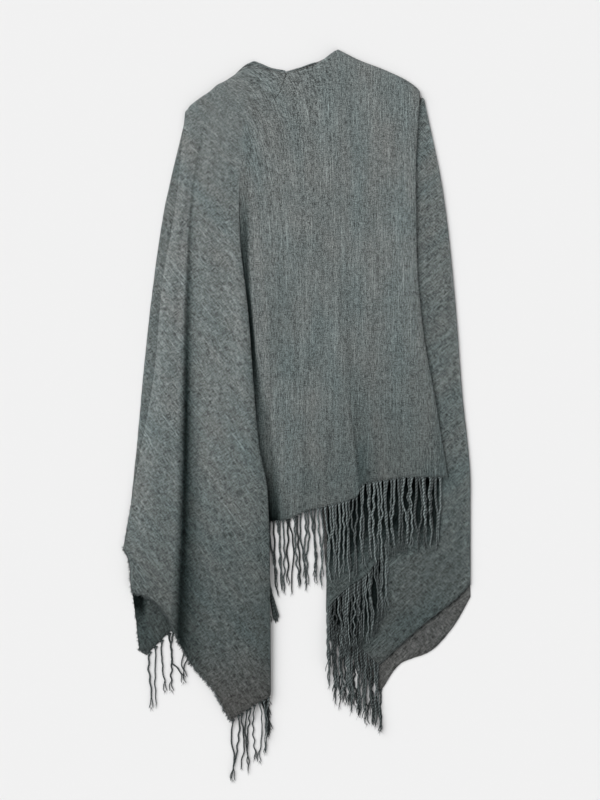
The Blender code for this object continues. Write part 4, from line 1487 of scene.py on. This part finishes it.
# Near-black thread: along the neck its darkness is also painted shadow.
THREAD_AND_SHADOW_COLOURS = ((0.020, 0.018, 0.017, 1.0), (0.050, 0.045, 0.040, 1.0))
mesh, layers = new_yarns()
neck_count = sewn_line(mesh, layers, NECK_SEAM_AND_SHADOW_LINE, NECK_STITCH_RADIUS, back_layout)
seam_count = sewn_line(mesh, layers, MIDDLE_SEAM, SEAM_STITCH_RADIUS, back_layout)
thread_and_painted_shadow = twisted_yarn("thread_and_painted_shadow", *THREAD_AND_SHADOW_COLOURS)
neck_seams_and_shadow = piece_from(mesh, "neck_seams_and_shadow", thread_and_painted_shadow)
print("stitches:", neck_count, "at the neck,", seam_count, "down the middle")

# %% [markdown]
# ## The floor, the light and the camera
#
# The floor is plain and pale. A broad far light comes from the upper left, as even as a big
# window. A weaker one comes in low from the lower right, and the pale surroundings fill the
# shadows. The camera hangs above the layout. A long lens keeps the view nearly straight, and its
# height and lens give the picture 1.4 m of floor from top to bottom.

# %% The floor
def plain(name, colour, roughness):
    material = bpy.data.materials.new(name)
    material.use_nodes = True
    shader = material.node_tree.nodes["Principled BSDF"]
    shader.inputs["Base Color"].default_value = (*colour, 1.0)
    shader.inputs["Roughness"].default_value = roughness
    return material


FLOOR_SIZE = 44.0
FLOOR_LEVEL = -0.3 * MM
mesh = bmesh.new()
bmesh.ops.create_grid(mesh, x_segments=4, y_segments=4, size=FLOOR_SIZE / 2)
bmesh.ops.translate(mesh, verts=mesh.verts[:], vec=(0.0, 0.0, FLOOR_LEVEL))
data = bpy.data.meshes.new("studio_floor")
mesh.to_mesh(data)
mesh.free()
data.materials.append(plain("studio_floor", (0.815, 0.815, 0.815), 0.9))
floor = bpy.data.objects.new("studio_floor", data)
bpy.context.scene.collection.objects.link(floor)
print("floor", FLOOR_SIZE, "m wide")

# %% The lights
def far_light(name, strength, width, came_from):
    """A sun lamp, so many degrees wide, whose light comes from this direction."""
    data = bpy.data.lights.new(name, "SUN")
    data.energy = strength
    data.angle = math.radians(width)
    light = bpy.data.objects.new(name, data)
    light.rotation_euler = Vector(came_from).to_track_quat("Z", "Y").to_euler()
    bpy.context.scene.collection.objects.link(light)
    return light


SURROUNDINGS = 0.40
key = far_light("key_light", 2.8, 60, (-1.0, 0.55, 1.0))
low = far_light("low_light", 0.9, 40, (0.8, -0.9, 0.40))
world = bpy.data.worlds.new("studio")
world.use_nodes = True
world.node_tree.nodes["Background"].inputs["Color"].default_value = (1.0, 1.0, 1.0, 1.0)
world.node_tree.nodes["Background"].inputs["Strength"].default_value = SURROUNDINGS
bpy.context.scene.world = world
bpy.context.scene.view_settings.view_transform = "Standard"
print("lights:", key.name, low.name, "and the pale surroundings")

# %% The camera
CAMERA_HEIGHT = 3.4
METRES_PER_PIXEL = 1.75 * MM
CLOTH_LEVEL = 8.0 * MM
SENSOR = 36.0
PICTURE = (600, 800)
# The pixel of the picture on which the middle of the fold tables falls.
LAYOUT_MIDDLE = (297, 416.6)
camera_data = bpy.data.cameras.new("photo_camera")
camera_data.sensor_width = SENSOR
camera_data.lens = SENSOR * (CAMERA_HEIGHT - CLOTH_LEVEL) / (PICTURE[1] * METRES_PER_PIXEL)
camera_data.dof.use_dof = False
camera = bpy.data.objects.new("photo_camera", camera_data)
middle_x = (PICTURE[0] / 2 - LAYOUT_MIDDLE[0]) * METRES_PER_PIXEL + moved_x
middle_y = (LAYOUT_MIDDLE[1] - PICTURE[1] / 2) * METRES_PER_PIXEL + moved_y
camera.location = (middle_x, middle_y, CAMERA_HEIGHT)
bpy.context.scene.collection.objects.link(camera)
bpy.context.scene.camera = camera
print("lens", round(camera_data.lens, 1), "mm")

# %% [markdown]
# ## The pieces and their bodies
#
# Each piece is attached to the body it moves with, and the solids it stands for are hidden.

# %% Attach each piece to its body and hide the solids it stands for
cloths = {
    back_cloth: ("back_panel", "left_drape"),
    right_cloth: ("right_drape", "right_return"),
    left_front_cloth: ("left_front",),
    right_front_cloth: ("right_front",),
}
for cloth, nodes in cloths.items():
    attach(cloth, "root")
    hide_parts(*nodes)
for name, group in groups.items():
    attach(group, "root")
    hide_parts(name)
for name, roll in neck_rolls.items():
    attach(roll, "root")
    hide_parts(name)
trims = {selvage_hair: "twisted_fringe", caught_bundle: "twisted_fringe", neck_seams_and_shadow: "neck_roll"}
for trim, slot in trims.items():
    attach(trim, "root")
print("pieces:", len(cloths) + len(groups) + len(neck_rolls) + len(trims))

# %% The cloths
print("cloths: 4")
